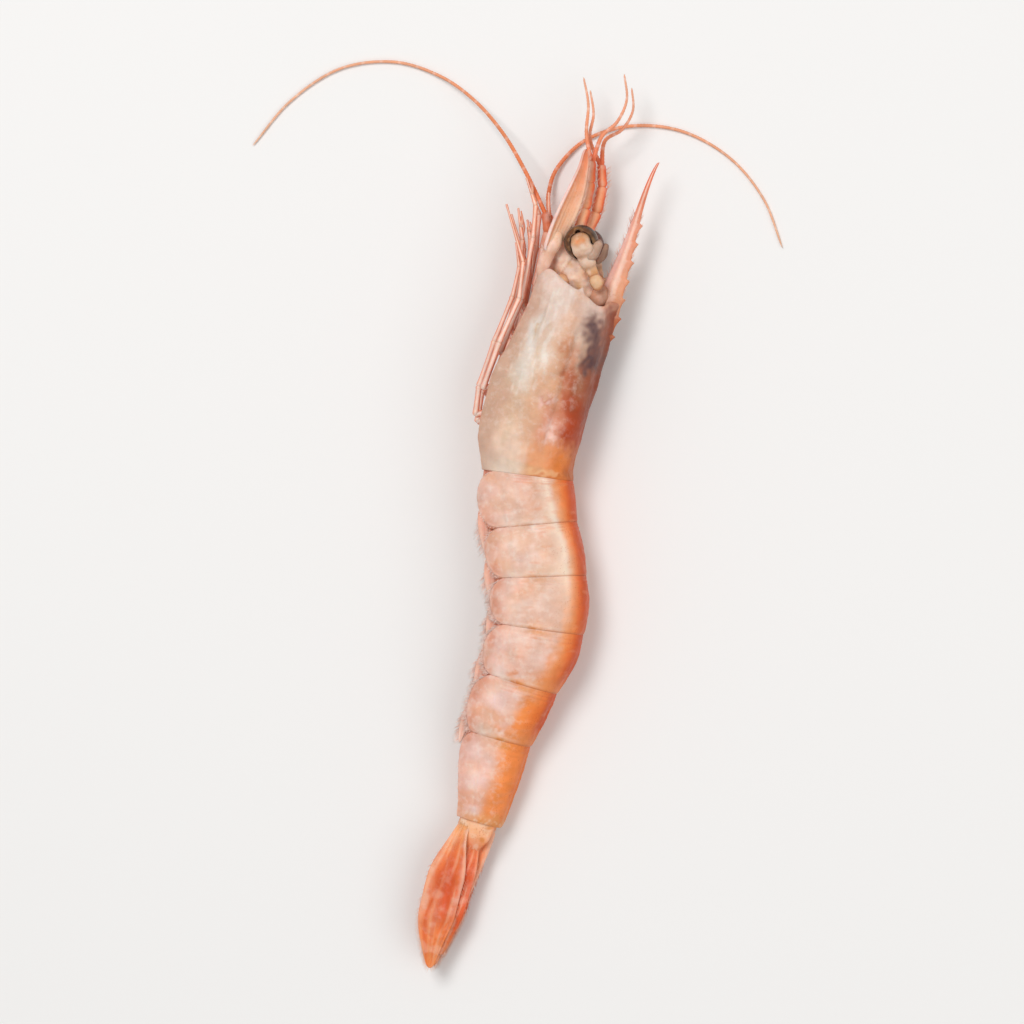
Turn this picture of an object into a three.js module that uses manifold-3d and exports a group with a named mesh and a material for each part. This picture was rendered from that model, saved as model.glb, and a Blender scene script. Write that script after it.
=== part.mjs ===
// A whole raw shrimp, head on, lying on its right side. Millimetres, +Z up.
//
// The animal is described straight and then laid along its curved body. Every point has three body
// coordinates: s runs along the body from the carapace's rear edge, positive towards the head;
// d is the distance from the body line towards the back; and l is the distance from the middle
// plane towards the left side, which faces up. bodyPoint(s, d, l) turns them into x, y and z.
import * as THREE from "three";
import { mergeVertices } from "three/addons/utils/BufferGeometryUtils.js";
import Module from "manifold-3d";

const { abs, cos, exp, hypot, max, min, PI, sign, sin } = Math;
const { degToRad, lerp, smoothstep } = THREE.MathUtils;
const wasm = await Module();
wasm.setup();

// ---- Driving dimensions, in millimetres and degrees ----
const CARAPACE_LENGTH = 32; // rear edge to eye socket
const CARAPACE_HEADING = 17; // headings are clockwise from +Y, seen from above
const ROSTRUM_LENGTH = 24.5; // ahead of the eye socket
const ROSTRUM_TEETH = 7;
const FAN_HEADING = 21;

// The abdomen's segments from the front: length, heading, and at the rear edge the reach of the
// back, the reach of the belly side and the half width.
const SEGMENTS = [
  { length: 8.6, heading: -6, rear: [8.4, 7, 7.2] },
  { length: 8.6, heading: -4, rear: [9.4, 6.5, 7.2] },
  { length: 8.4, heading: 0, rear: [9.2, 6.2, 7] },
  { length: 9.4, heading: 17, rear: [7.3, 6.3, 6.2] },
  { length: 10.2, heading: 18, rear: [5.5, 6.1, 4.9] },
  { length: 14.6, heading: 12, rear: [3.9, 3.7, 3.1] },
];

// The same three reaches along the carapace, at shares of its length from the rear edge.
const CARAPACE_REACHES = [
  [0, 8.1, 7.6, 7.2],
  [0.13, 7.6, 8.7, 7.5],
  [0.3, 7.5, 9.3, 7.6],
  [0.5, 7.3, 9.2, 7.5],
  [0.75, 7, 7.5, 6.9],
  [0.88, 6.8, 7.1, 6.1],
  [1, 6.4, 7, 5.2],
  [1.15, 5.2, 6.1, 4],
];

const FLATTENED = 0.35; // how much of the right side is pressed flat by the surface below
const TAIL_LIFT = 0.85; // how far the end of the abdomen stays clear of that surface
const REST_SPOT = 9; // s of the flat spot it rests on; ahead of it the middle plane is level
const LIP = 0.5; // thickness of a shell plate's free edge
const PLAY = 0.45; // space between a plate and what slides under it, and again at the belly
const OVERLAP = 1.9; // how far a plate reaches over the next one
const TOUCH = 0.3; // gap between pieces that meet
const MARGIN_ANGLE = degToRad(150); // the side plates' lower edge, with 0 at the middle of the back
const BELLY_HOLLOW = 2.2;
const THORAX_HOLLOW = 3;
const LOBE_NOTCH = 0.9; // how much the side plates' rounded ends rise between segments
const LOBES_END = [42, 52]; // how far behind the carapace the side plates fade out

// ---- The body line ----

const joints = [0]; // s of each segment's edges
for (const { length } of SEGMENTS) joints.push(joints.at(-1) - length);
const ABDOMEN_END = joints.at(-1);

// Reads rows of [place, ...values], with the places falling, along smooth curves.
function reader(rows) {
  const slope = (i, k) => {
    const a = rows[max(i - 1, 0)];
    const b = rows[min(i + 1, rows.length - 1)];
    return (b[k] - a[k]) / (b[0] - a[0]);
  };
  return (place) => {
    const i = min(max(rows.findLastIndex((row) => row[0] >= place), 0), rows.length - 2);
    const width = rows[i + 1][0] - rows[i][0];
    const t = min(max((place - rows[i][0]) / width, 0), 1);
    return rows[i].slice(1).map((value, j) => {
      const k = j + 1;
      const [end, m0, m1] = [rows[i + 1][k], slope(i, k) * width, slope(i + 1, k) * width];
      const [t2, t3] = [t * t, t * t * t];
      return (2 * t3 - 3 * t2 + 1) * value + (t3 - 2 * t2 + t) * m0
        + (3 * t2 - 2 * t3) * end + (t3 - t2) * m1;
    });
  };
}

const reaches = reader([
  ...CARAPACE_REACHES.map(([share, ...reach]) => [share * CARAPACE_LENGTH, ...reach]).reverse(),
  ...SEGMENTS.map(({ rear }, i) => [joints[i + 1], ...rear]),
]);

const headings = [
  [3, CARAPACE_HEADING],
  ...SEGMENTS.map(({ heading }, i) => [(joints[i] + joints[i + 1]) / 2, heading]),
  [ABDOMEN_END - 8, FAN_HEADING],
];

function headingAt(s) {
  if (s >= headings[0][0]) return degToRad(headings[0][1]);
  const i = headings.findLastIndex((row) => row[0] >= s);
  if (i === headings.length - 1) return degToRad(headings[i][1]);
  const t = (headings[i][0] - s) / (headings[i][0] - headings[i + 1][0]);
  return degToRad(lerp(headings[i][1], headings[i + 1][1], t));
}

// The body line's x and y, walked out in small steps both ways from s = 0.
const STEP = 0.25;
const LINE_FRONT = 120;
const LINE_REAR = -100;
const line = new Map([[0, [0, 0]]]);
for (const way of [1, -1]) {
  const end = (way > 0 ? LINE_FRONT : LINE_REAR) / STEP;
  for (let i = 0; i !== end; i += way) {
    const heading = headingAt((i + way / 2) * STEP);
    const [x, y] = line.get(i);
    line.set(i + way, [x + way * STEP * sin(heading), y + way * STEP * cos(heading)]);
  }
}

function linePoint(s) {
  const i = Math.floor(s / STEP);
  const t = s / STEP - i;
  const [a, b] = [line.get(i), line.get(i + 1)];
  return [lerp(a[0], b[0], t), lerp(a[1], b[1], t)];
}

function middleHeight(s) {
  const resting = min(max(s, ABDOMEN_END), REST_SPOT);
  return reaches(resting)[2] - FLATTENED + TAIL_LIFT * smoothstep(-s, 45, 58);
}

// Body coordinates with the height above the surface given in place of l.
function groundPoint(s, d, height) {
  const heading = headingAt(s);
  const [x, y] = linePoint(s);
  return new THREE.Vector3(x + d * cos(heading), y - d * sin(heading), height);
}

const bodyPoint = (s, d, l) => groundPoint(s, d, middleHeight(s) + l);

// ---- Shape tools ----

function weld(geometry) {
  const bare = geometry.index ? geometry.toNonIndexed() : geometry;
  bare.deleteAttribute("normal");
  bare.deleteAttribute("uv");
  return mergeVertices(bare, 1e-4);
}

function volumeOf(geometry) {
  const p = geometry.getAttribute("position");
  const [a, b, c] = [new THREE.Vector3(), new THREE.Vector3(), new THREE.Vector3()];
  let total = 0;
  for (let i = 0; i < geometry.index.count; i += 3) {
    a.fromBufferAttribute(p, geometry.index.getX(i));
    b.fromBufferAttribute(p, geometry.index.getX(i + 1));
    c.fromBufferAttribute(p, geometry.index.getX(i + 2));
    total += a.dot(b.cross(c)) / 6;
  }
  return total;
}

// Turns the faces of a welded geometry outwards.
function faceOut(geometry) {
  if (volumeOf(geometry) > 0) return geometry;
  const index = geometry.index.array;
  for (let i = 0; i < index.length; i += 3) [index[i + 1], index[i + 2]] = [index[i + 2], index[i + 1]];
  return geometry;
}

// Moves every point of a welded geometry to place(x, y, z).
function moved(geometry, place) {
  const p = geometry.getAttribute("position");
  for (let i = 0; i < p.count; i += 1) {
    const { x, y, z } = place(p.getX(i), p.getY(i), p.getZ(i));
    p.setXYZ(i, x, y, z);
  }
  return faceOut(geometry);
}

// A capped cylinder whose every point is moved: place(row, angle, rim) gives the new point, where
// rim is 1 on the wall and 0 at the middle of a cap.
function loft(sides, rows, place) {
  return moved(weld(new THREE.CylinderGeometry(1, 1, 1, sides, rows - 1)), (x, y, z) => {
    const row = Math.round((0.5 - y) * (rows - 1));
    return place(row, Math.atan2(x, z), Math.round(hypot(x, z)));
  });
}

// A rod along points, with an oval section: half(t) gives its half width across `up` and its half
// thickness along `up`, and t runs from 0 to 1 over the points.
function rod(points, sides, half, up = new THREE.Vector3(0, 0, 1)) {
  const frames = points.map((point, i) => {
    const before = points[max(i - 1, 0)];
    const after = points[min(i + 1, points.length - 1)];
    const along = after.clone().sub(before).normalize();
    const across = new THREE.Vector3().crossVectors(along, up).normalize();
    return { point, across, thick: new THREE.Vector3().crossVectors(across, along) };
  });
  return loft(sides, points.length, (row, angle, rim) => {
    const { point, across, thick } = frames[row];
    const [width, depth] = half(row / (points.length - 1));
    return point.clone()
      .addScaledVector(across, rim * width * sin(angle))
      .addScaledVector(thick, rim * depth * cos(angle));
  });
}

// Points spread evenly along a smooth curve through the given ones.
const curve = (points, count) => new THREE.CatmullRomCurve3(points).getSpacedPoints(count - 1);

// Each stretch between two joints cut in three, so that a rod bends sharply at the joints.
function jointed(points) {
  const all = [points[0]];
  for (let i = 1; i < points.length; i += 1) {
    for (const t of [0.12, 0.88]) all.push(points[i - 1].clone().lerp(points[i], t));
    if (i === points.length - 1) all.push(points[i]);
  }
  return all;
}

function manifold(geometry) {
  return new wasm.Manifold(new wasm.Mesh({
    numProp: 3,
    vertProperties: geometry.getAttribute("position").array,
    triVerts: new Uint32Array(geometry.index.array),
  }));
}

function geometryOf(solid) {
  const { vertProperties, triVerts } = solid.getMesh();
  const geometry = new THREE.BufferGeometry();
  geometry.setAttribute("position", new THREE.BufferAttribute(vertProperties, 3));
  geometry.setIndex(new THREE.BufferAttribute(triVerts, 1));
  return geometry;
}

const fuse = (...parts) => geometryOf(parts.map(manifold).reduce((whole, part) => whole.add(part)));

// ---- Colours ----

const finish = (color, roughness) => new THREE.MeshStandardMaterial({ color, roughness, metalness: 0 });
const MATERIALS = {
  carapace: finish("#dcbfae", 0.35),
  shell: finish("#e8bfa6", 0.35),
  cornea: finish("#23201c", 0.15),
  flesh: finish("#d9a488", 0.4),
  scale: finish("#e29a83", 0.4),
  antenna: finish("#d96f4c", 0.45),
  limb: finish("#e2ad98", 0.4),
  swimmeret: finish("#e6b8ac", 0.45),
  fan: finish("#dd7e5a", 0.4),
};

const shrimp = new THREE.Group();
function add(name, material, geometry) {
  const mesh = new THREE.Mesh(geometry, MATERIALS[material]);
  mesh.name = name;
  shrimp.add(mesh);
}

// ---- Shell plates ----

const lobes = (s) => 1 - smoothstep(-s, ...LOBES_END);

function hollowAt(s) {
  return lerp(BELLY_HOLLOW * lobes(s), THORAX_HOLLOW, smoothstep(s, 0, 8));
}

// A point of the body's outline at s: angle 0 is the middle of the back and PI the middle of the
// belly. The side plates hang past the belly, which is hollow between them.
function outline(s, angle, inset, notch = 0, shift = 0) {
  const [back, belly, side] = reaches(s).map((reach) => reach - inset);
  const turn = abs(angle);
  const lower = cos(turn) < 0;
  const drop = min(cos(turn) / cos(MARGIN_ANGLE), 1);
  const rise = hollowAt(s) * smoothstep(turn, MARGIN_ANGLE, PI);
  const d = lower ? rise - (belly - notch) * drop : back * cos(turn);
  const spread = side + inset * smoothstep(turn, MARGIN_ANGLE - 0.2, MARGIN_ANGLE + 0.2);
  const l = spread * sign(sin(angle)) * abs(sin(angle)) ** (lower ? 0.55 : 0.86);
  const point = bodyPoint(s + shift, d, l);
  point.z = max(point.z, 0);
  return point;
}

// Rows of a plate hold s and how far the surface is sunk below the outline there. A segment's
// first two rows are its neck, which slides inside the plate ahead.
function abdomenSegment(front, rear) {
  const notch = (s) => {
    const share = min(max((front - s) / (front - rear), 0), 1);
    return LOBE_NOTCH * lobes(s) * (1 - sin(PI * share) ** 0.6);
  };
  const outside = [[0.06, 0.62], [0.15, 0.28], [0.35, 0.05], [0.62, 0], [0.86, -0.08], [1, 0]];
  const rows = [
    [front + OVERLAP / 2, LIP + PLAY],
    [front - 0.1, LIP + PLAY],
    ...outside.map(([share, inset]) => [lerp(front, rear, share), inset]),
    [rear, LIP],
    [rear + OVERLAP, LIP],
  ];
  return loft(24, rows.length, (row, angle, rim) => {
    const [s, inset] = rows[row];
    const tuck = row < 2 ? PLAY : 0;
    return rim ? outline(s, angle, inset, notch(s) + tuck) : bodyPoint(s, 0, 0);
  });
}

const bump = (x, centre, spread) => exp(-(((x - centre) / spread) ** 2));

// The front edge falls back at the eye socket and swings forward at the lower corner.
const frontEdge = (turn) => 2.2 * bump(turn, 2.3, 0.5) - 1.4 * bump(turn, 0.8, 0.4);

// A long groove runs forward on each side, and a slanting one crosses the front half.
function grooves(s, turn) {
  const long = 0.4 * bump(turn, 1.15, 0.11) * smoothstep(s, 3, 8) * (1 - smoothstep(s, 24, 29));
  const across = smoothstep(turn, 0.35, 0.7) * (1 - smoothstep(turn, 1.3, 1.7));
  return long + 0.45 * bump(s, 24 - 5 * turn, 1.3) * across;
}

function carapaceShell() {
  const smooth = [1.2, 4, 8, 12, 15.5, 18, 20.5, 23, 26, 29, 31.2];
  const rows = [
    [OVERLAP, LIP],
    [0, LIP],
    [0, 0],
    ...smooth.map((s) => [s, 0]),
    [CARAPACE_LENGTH, 0.15],
    [CARAPACE_LENGTH, 0.75],
    [CARAPACE_LENGTH - 2.2, 1.1],
  ];
  return loft(36, rows.length, (row, angle, rim) => {
    const [s, inset] = rows[row];
    if (!rim) return bodyPoint(s, 0, 0);
    const turn = abs(angle);
    const swing = row === rows.length - 1 ? 0 : smoothstep(s, 20, CARAPACE_LENGTH);
    const notch = LOBE_NOTCH * (1 - smoothstep(s, 0, 4));
    return outline(s, angle, inset + grooves(s, turn), notch, frontEdge(turn) * swing);
  });
}

// The rostrum's upper edge and half depth; u is 0 at the eye socket and 1 at the tip.
const rostrumTop = (u) => 7.4 - 1.7 * u + u ** 6;
const rostrumHalf = (u) => 0.45 * (1 - u) ** 0.3 + 1.55 * exp(-u / 0.33);

// A saw-toothed blade that grows out of the crest along the back and curves up at its tip.
function rostrumBlade() {
  const root = -0.5;
  const [firstTooth, pitch, height] = [-0.3, 0.13, 0.6];
  const back = (u) => reaches(CARAPACE_LENGTH + u * ROSTRUM_LENGTH)[0];
  const crest = (u) => (u < 0 ? back(u) + smoothstep(u, root, 0) : rostrumTop(u));
  const top = [[root, back(root) - 0.3]];
  for (let i = 0; i < ROSTRUM_TEETH; i += 1) {
    const [start, peak, end] = [0, 0.55, 0.68].map((share) => firstTooth + (i + share) * pitch);
    top.push([start, crest(start)], [peak, crest(peak) + height], [end, crest(end)]);
  }
  for (let u = firstTooth + ROSTRUM_TEETH * pitch; u < 1; u += 0.08) top.push([u, crest(u)]);
  const under = [];
  for (let u = 0.97; u > 0.05; u -= 0.12) under.push([u, rostrumTop(u) - 2 * rostrumHalf(u)]);
  const outer = [...top, [1, rostrumTop(1)], ...under, [-0.1, 2.6], [root, 4.5]];
  const shape = new THREE.Shape(outer.map(([u, d]) => new THREE.Vector2(u, d)));
  const blade = weld(new THREE.ExtrudeGeometry(shape, { depth: 1, bevelEnabled: false }));
  return moved(blade, (u, d, face) => {
    const half = lerp(0.75, 0.22, smoothstep(u, -0.2, 1));
    return bodyPoint(CARAPACE_LENGTH + u * ROSTRUM_LENGTH, d, half * (2 * face - 1));
  });
}

// ---- Head: the block that carries the eyes and feelers, and the eyes ----

// Rows: s, the upper and the lower edge's d, and the half width.
function headBlock() {
  const rows = [
    [30.3, 2.2, -2.8, 2.4],
    [32.3, 2.2, -3.1, 2.9],
    [33.6, 2.2, -5.2, 3.2],
    [35.6, 2.2, -6.3, 3.2],
    [38.4, 0.4, -6.1, 2.6],
    [40.2, -1.6, -5.2, 1.8],
  ];
  return loft(14, rows.length, (row, angle, rim) => {
    const [s, upper, lower, side] = rows[row];
    const d = lerp(lower, upper, (1 + rim * cos(angle)) / 2);
    return bodyPoint(s, d, rim * side * sin(angle));
  });
}
const EYE = { s: 39.9, d: -1.5, l: 4.5, radius: 2.9, depth: 2.1 };
const EYESTALK = [[34.4, 2.7, 3.6], [36.3, 1.2, 4.5], [38.4, -0.4, 5.4], [40.5, -1.8, 5.8]];

// The stalk ends in a lobe that lies in a groove across the dark cornea.
function eye(side) {
  const ball = moved(weld(new THREE.SphereGeometry(1, 16, 10)), (x, y, z) => bodyPoint(
    EYE.s + EYE.radius * x,
    EYE.d + EYE.radius * y,
    side * (EYE.l + EYE.depth * z),
  ));
  const path = curve(EYESTALK.map(([s, d, l]) => bodyPoint(s, d, side * l)), 6);
  const half = (t) => lerp(0.8, 1.7, smoothstep(t, 0, 0.7)) * (1 - 0.3 * smoothstep(t, 0.8, 1));
  const lobe = (points, extra) => rod(points, 10, (t) => [half(t) + extra, 0.62 * half(t) + extra]);
  const beyond = path.at(-1).clone().lerp(path.at(-2), -2 * TOUCH);
  const groove = manifold(lobe([...path, beyond], TOUCH));
  return { cornea: geometryOf(manifold(ball).subtract(groove)), stalk: lobe(path, 0) };
}

// ---- Feelers ----

// The long feelers' whips, in s, d and height, from the head to the tip.
const WHIPS = {
  left: [
    [42.8, -8.9, 10], [48.4, -14.1, 9], [53.8, -20.2, 6.6], [58, -27.2, 3], [60.4, -34.6, 1],
    [60.4, -43, 0.5], [56.6, -51.5, 0.45], [49, -58, 0.4], [40, -62, 0.35],
  ],
  right: [
    [42.8, -8.9, 4.4], [46.4, -10.4, 2.5], [51.2, -10.4, 1.1], [57, -7.2, 0.6], [61.4, -0.6, 0.5],
    [63, 8, 0.5], [61, 17, 0.45], [56, 24.5, 0.4], [49, 30, 0.35],
  ],
};

function antenna(side, name) {
  const base = jointed([
    bodyPoint(37.6, -7.1, side * 2.7),
    bodyPoint(40, -7.6, side * 2.7),
    bodyPoint(42.9, -9, side * 2.7),
  ]);
  const whip = curve(WHIPS[name].map((point) => groundPoint(...point)), 34);
  const taper = (t) => lerp(0.48, 0.25, t);
  return fuse(
    rod(base, 8, (t) => [lerp(0.95, 0.7, t), lerp(0.95, 0.7, t)]),
    rod([base.at(-2), ...whip], 6, (t) => [taper(t), taper(t)]),
  );
}

const ANTENNULE_STEMS = {
  left: [[40.6, -2.6, 1.35], [45.6, -2.9, 1.4], [50, -3.3, 1.35], [53.4, -4.1, 1.3]],
  right: [[40.6, -1.9, 1.35], [45.6, -1.2, 1.4], [50, -1.5, 1.35], [53.4, -2.7, 1.3]],
};
const ANTENNULE_WHIPS = [
  [[57.8, -3.8, 1.1], [61, -2, 1], [65, -1.6, 0.7], [69, -3.3, 0.3]],
  [[57.6, -6.4, 0.9], [62.4, -7.6, 0.4], [66.6, -9.8, -0.4]],
];
const RIGHT_SPREAD = { s: -1.8, d: 1.8 }; // how far the right whips' tips lie off the left ones

function antennule(side, name) {
  const stem = jointed(ANTENNULE_STEMS[name].map(([s, d, l]) => bodyPoint(s, d, side * l)));
  const whips = ANTENNULE_WHIPS.map((route) => {
    const points = route.map(([s, d, l], i) => {
      const stray = side < 0 ? (i + 1) / route.length : 0;
      return bodyPoint(s + stray * RIGHT_SPREAD.s, d + stray * RIGHT_SPREAD.d, side * l);
    });
    return rod(curve([stem.at(-2), ...points], 10), 6, (t) => [lerp(0.45, 0.24, t), lerp(0.45, 0.24, t)]);
  });
  return fuse(rod(stem, 8, (t) => [lerp(1.15, 0.8, t), lerp(0.95, 0.75, t)]), ...whips);
}

// A long blade beside the feelers, tilted so that its lower edge is the outermost.
function antennalScale(side) {
  const route = [
    [36.6, -6.6, 4.6], [40.2, -6.2, 5], [44, -5.4, 5.1], [48, -4.8, 5.1], [52, -4.8, 4.7], [55, -5.3, 4.1],
  ];
  const path = curve(route.map(([s, d, l]) => bodyPoint(s, d, side * l)), 10);
  const up = bodyPoint(40, 1, 1.1 * side).sub(bodyPoint(40, 0, 0));
  const width = (t) => 2 * (0.7 + 0.3 * sin(PI * min(t * 1.25, 1))) * (1 - 0.75 * t ** 5);
  return rod(path, 10, (t) => [width(t), 0.36], up);
}

// ---- Legs ----

// From the mouth back: the half thickness near the body, and the joints in s, d and l.
const LIMBS = {
  maxilliped: {
    half: 0.7,
    joints: [[28.2, -6, 1], [30.8, -7.2, 0.95], [37.2, -7.9, 0.95], [42.4, -8.4, 1], [46.4, -9.6, 1]],
  },
  leg_1: {
    half: 0.52,
    claw: true,
    joints: [[25, -6.2, 1.2], [27.4, -8.4, 1.3], [33, -9, 1.3], [38, -10.2, 1.4], [41, -11.7, 1.4]],
  },
  leg_2: {
    half: 0.52,
    claw: true,
    joints: [[21.4, -6.9, 1.5], [23, -9.5, 1.6], [31, -9.9, 1.9], [37.5, -11.4, 2.2], [42.4, -13.6, 2.4]],
  },
  leg_3: {
    half: 0.55,
    claw: true,
    joints: [
      [17.4, -7.5, 2], [18.6, -9.4, 2.9], [28, -8.5, 3.1], [38.4, -9.6, 3.6], [43.6, -10.7, 3.7],
      [47.6, -13.6, 3.5],
    ],
  },
  leg_4: {
    half: 0.55,
    joints: [
      [13.4, -7.9, 2.2], [11.8, -10.3, 3.7], [20, -9.8, 4.9], [28, -8.7, 5], [34, -9.8, 5],
      [42.4, -15.4, 4.4],
    ],
  },
  leg_5: {
    half: 0.55,
    joints: [
      [9, -7.8, 2], [7.2, -10.4, 2.3], [12, -11.2, 2.6], [20, -10.8, 3.4], [28, -10, 3.8],
      [33, -10.4, 3.5], [36.8, -12.2, 3],
    ],
  },
};
const RIGHT_SLIP = -1.1; // how much further back the right-hand limbs lie

function limb({ half, claw, joints: places }, side) {
  const slip = side < 0 ? RIGHT_SLIP : 0;
  const points = places.map(([s, d, l]) => bodyPoint(s + slip, d, side * l));
  const taper = (t) => half * lerp(1.15, 0.5, t);
  const body = rod(jointed(points), 6, (t) => [taper(t), taper(t)]);
  if (!claw) return body;
  const [wrist, tip] = points.slice(-2);
  const finger = [wrist.clone().lerp(tip, 0.45), tip.clone().lerp(wrist, 0.08)];
  finger[1].add(bodyPoint(40, 0.75, 0.2 * side).sub(bodyPoint(40, 0, 0)));
  return fuse(body, rod(finger, 5, (t) => [lerp(0.34, 0.2, t), lerp(0.34, 0.2, t)]));
}

// ---- Swimmerets ----

function swimmeret(front, rear, size, side) {
  const middle = (front + rear) / 2;
  const [, belly, width] = reaches(middle);
  const root = hollowAt(middle) - belly - 1.2;
  const lane = (side * width) / SEGMENTS[0].rear[2];
  const stem = curve([
    bodyPoint(middle + 1.8, root, lane * 1.7),
    bodyPoint(middle, root - 0.7, lane * 2),
    bodyPoint(middle - 2, root - 1.1, lane * 2.3),
  ], 5);
  const blade = curve([
    bodyPoint(middle - 1, root - 1, lane * 2.4),
    bodyPoint(middle - 4, root - 1.6, lane * 3.1),
    bodyPoint(middle - 4 - 4.2 * size, root - 1.5, lane * 3.4),
  ], 6);
  return fuse(
    rod(stem, 8, (t) => [lerp(0.6, 0.85, t) * size, 0.65]),
    rod(blade, 8, (t) => [lerp(1.05, 0.35, t * t) * size, lerp(0.5, 0.3, t)]),
  );
}

// ---- Tail fan ----

// Paths hold the distance back from the end of the abdomen, d and l.
const BLADES = {
  outer: {
    path: [[0.6, -1.9, 2.1], [4, -2.2, 3], [12, -1.8, 3], [20, -0.7, 2.7], [26, 0.9, 2.2]],
    half: 3.1,
    thickness: 0.4,
  },
  inner: {
    path: [[0.5, 0.2, 1.7], [5, 0.2, 1.7], [12, 0.4, 1.6], [18, 0.9, 1.4], [23.5, 1.6, 1.1]],
    half: 2.3,
    thickness: 0.36,
  },
};

// A flat blade, widest near its middle and rounded at its end.
function fanBlade({ path, half, thickness }, side) {
  const points = curve(path.map(([behind, d, l]) => bodyPoint(ABDOMEN_END - behind, d, side * l)), 11);
  const width = (t) => half * lerp(0.34, 1, smoothstep(t, 0, 0.4)) * lerp(1, 0.35, smoothstep(t, 0.62, 1));
  return rod(points, 12, (t) => [width(t), thickness * lerp(1.3, 0.55, t)]);
}

function telson() {
  const route = [[0.4, 1.9], [7, 1.8], [19.5, 2]];
  const path = route.map(([behind, d]) => bodyPoint(ABDOMEN_END - behind, d, 0));
  return rod(curve(path, 8), 10, (t) => [lerp(1.5, 0.25, t ** 1.4), lerp(0.85, 0.25, t)]);
}

// ---- The whole animal ----

add("carapace", "carapace", fuse(carapaceShell(), rostrumBlade()));
SEGMENTS.forEach((_, i) => add(`abdomen_${i + 1}`, "shell", abdomenSegment(joints[i], joints[i + 1])));
add("head", "flesh", headBlock());
add("telson", "fan", telson());
for (const [side, name] of [[1, "left"], [-1, "right"]]) {
  const { cornea, stalk } = eye(side);
  add(`eye_${name}`, "cornea", cornea);
  add(`eyestalk_${name}`, "flesh", stalk);
  add(`antenna_${name}`, "antenna", antenna(side, name));
  add(`antennule_${name}`, "antenna", antennule(side, name));
  add(`antennal_scale_${name}`, "scale", antennalScale(side));
  for (const [part, shape] of Object.entries(LIMBS)) add(`${part}_${name}`, "limb", limb(shape, side));
  for (let i = 0; i < 5; i += 1) {
    const size = [1, 1, 1, 0.95, 0.8][i];
    add(`swimmeret_${i + 1}_${name}`, "swimmeret", swimmeret(joints[i], joints[i + 1], size, side));
  }
  for (const [part, blade] of Object.entries(BLADES)) {
    add(`uropod_${part}_${name}`, "fan", fanBlade(blade, side));
  }
}

// The origin is the middle of the footprint.
const middle = new THREE.Box3().setFromObject(shrimp, true).getCenter(new THREE.Vector3());
shrimp.position.set(-middle.x, -middle.y, 0);

export default shrimp;
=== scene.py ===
"""A whole raw shrimp, head on, lying on its right side on a pale ground.

Every piece is described in body coordinates, in millimetres, and then laid along the curved body:
s runs along the body from the carapace's rear edge, positive towards the head; d is the distance
from the body line towards the back; l is the distance from the middle plane towards the left side,
which faces up. Each fine skin replaces the plain solid of the same sub-part.
"""

import math

import bpy
import numpy as np
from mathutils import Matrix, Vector


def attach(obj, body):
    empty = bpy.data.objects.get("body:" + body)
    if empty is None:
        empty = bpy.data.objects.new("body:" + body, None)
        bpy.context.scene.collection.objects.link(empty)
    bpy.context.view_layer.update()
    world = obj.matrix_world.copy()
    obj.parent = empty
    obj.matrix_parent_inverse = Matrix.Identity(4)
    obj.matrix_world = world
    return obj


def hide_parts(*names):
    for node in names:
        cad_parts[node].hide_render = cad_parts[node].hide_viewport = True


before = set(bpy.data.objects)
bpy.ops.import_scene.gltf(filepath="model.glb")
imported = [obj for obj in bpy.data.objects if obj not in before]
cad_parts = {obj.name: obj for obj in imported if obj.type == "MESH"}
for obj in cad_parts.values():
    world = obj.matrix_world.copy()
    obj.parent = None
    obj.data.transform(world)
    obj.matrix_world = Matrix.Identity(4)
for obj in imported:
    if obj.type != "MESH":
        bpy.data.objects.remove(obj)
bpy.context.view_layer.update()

MM = 0.001
FOOTPRINT = (2.512, 6.280)  # from the middle of the footprint to the carapace's rear edge

# ---- Driving dimensions, in millimetres and degrees ----
CARAPACE_LENGTH = 32
CARAPACE_HEADING = 17
ROSTRUM_LENGTH = 24.5
ROSTRUM_TEETH = 7
FAN_HEADING = 21
SEGMENTS = [  # length, heading, and at the rear edge the back, the belly side and the half width
    (8.6, -6, (8.4, 7.0, 7.2)),
    (8.6, -4, (9.4, 6.5, 7.2)),
    (8.4, 0, (9.2, 6.2, 7.0)),
    (9.4, 17, (7.3, 6.3, 6.2)),
    (10.2, 18, (5.5, 6.1, 4.9)),
    (14.6, 12, (3.9, 3.7, 3.1)),
]
CARAPACE_REACHES = [  # share of its length from the rear edge, and the same three reaches
    (0, (8.1, 7.6, 7.2)),
    (0.13, (7.6, 8.7, 7.5)),
    (0.3, (7.5, 9.3, 7.6)),
    (0.5, (7.3, 9.2, 7.5)),
    (0.75, (7.0, 7.5, 6.9)),
    (0.88, (6.8, 7.1, 6.1)),
    (1, (6.4, 7.0, 5.2)),
    (1.15, (5.2, 6.1, 4.0)),
]
FLATTENED = 0.35  # how far the side that it lies on is pressed in
TAIL_LIFT = 0.85
REST_SPOT = 9
OVERLAP = 1.9  # how far a plate reaches over the next
MARGIN_ANGLE = math.radians(150)
BELLY_HOLLOW = 2.2
THORAX_HOLLOW = 3
LOBE_NOTCH = 0.8
LOBES_END = (42, 52)
LIP = 0.12  # thickness of a plate's free edge
SUNK = 0.09  # how far a plate's front lies below the plate ahead
EDGE_STEP = 0.5  # how far the flesh lies below a side plate's lower edge
HAIR_FLOOR = 0.05  # least height of the hairs' tips


# ---- Small mathematics ----


def smooth(x, start, end):
    """0 before start, 1 after end, and a smooth step between them; start may be the larger."""
    t = np.clip((np.asarray(x, float) - start) / (end - start), 0, 1)
    return t * t * (3 - 2 * t)


def bump(x, centre, spread):
    return np.exp(-(((np.asarray(x, float) - centre) / spread) ** 2))


def blend(a, b, t):
    return a + (b - a) * t


def signed(x, power):
    return np.sign(x) * np.abs(x) ** power


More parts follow.
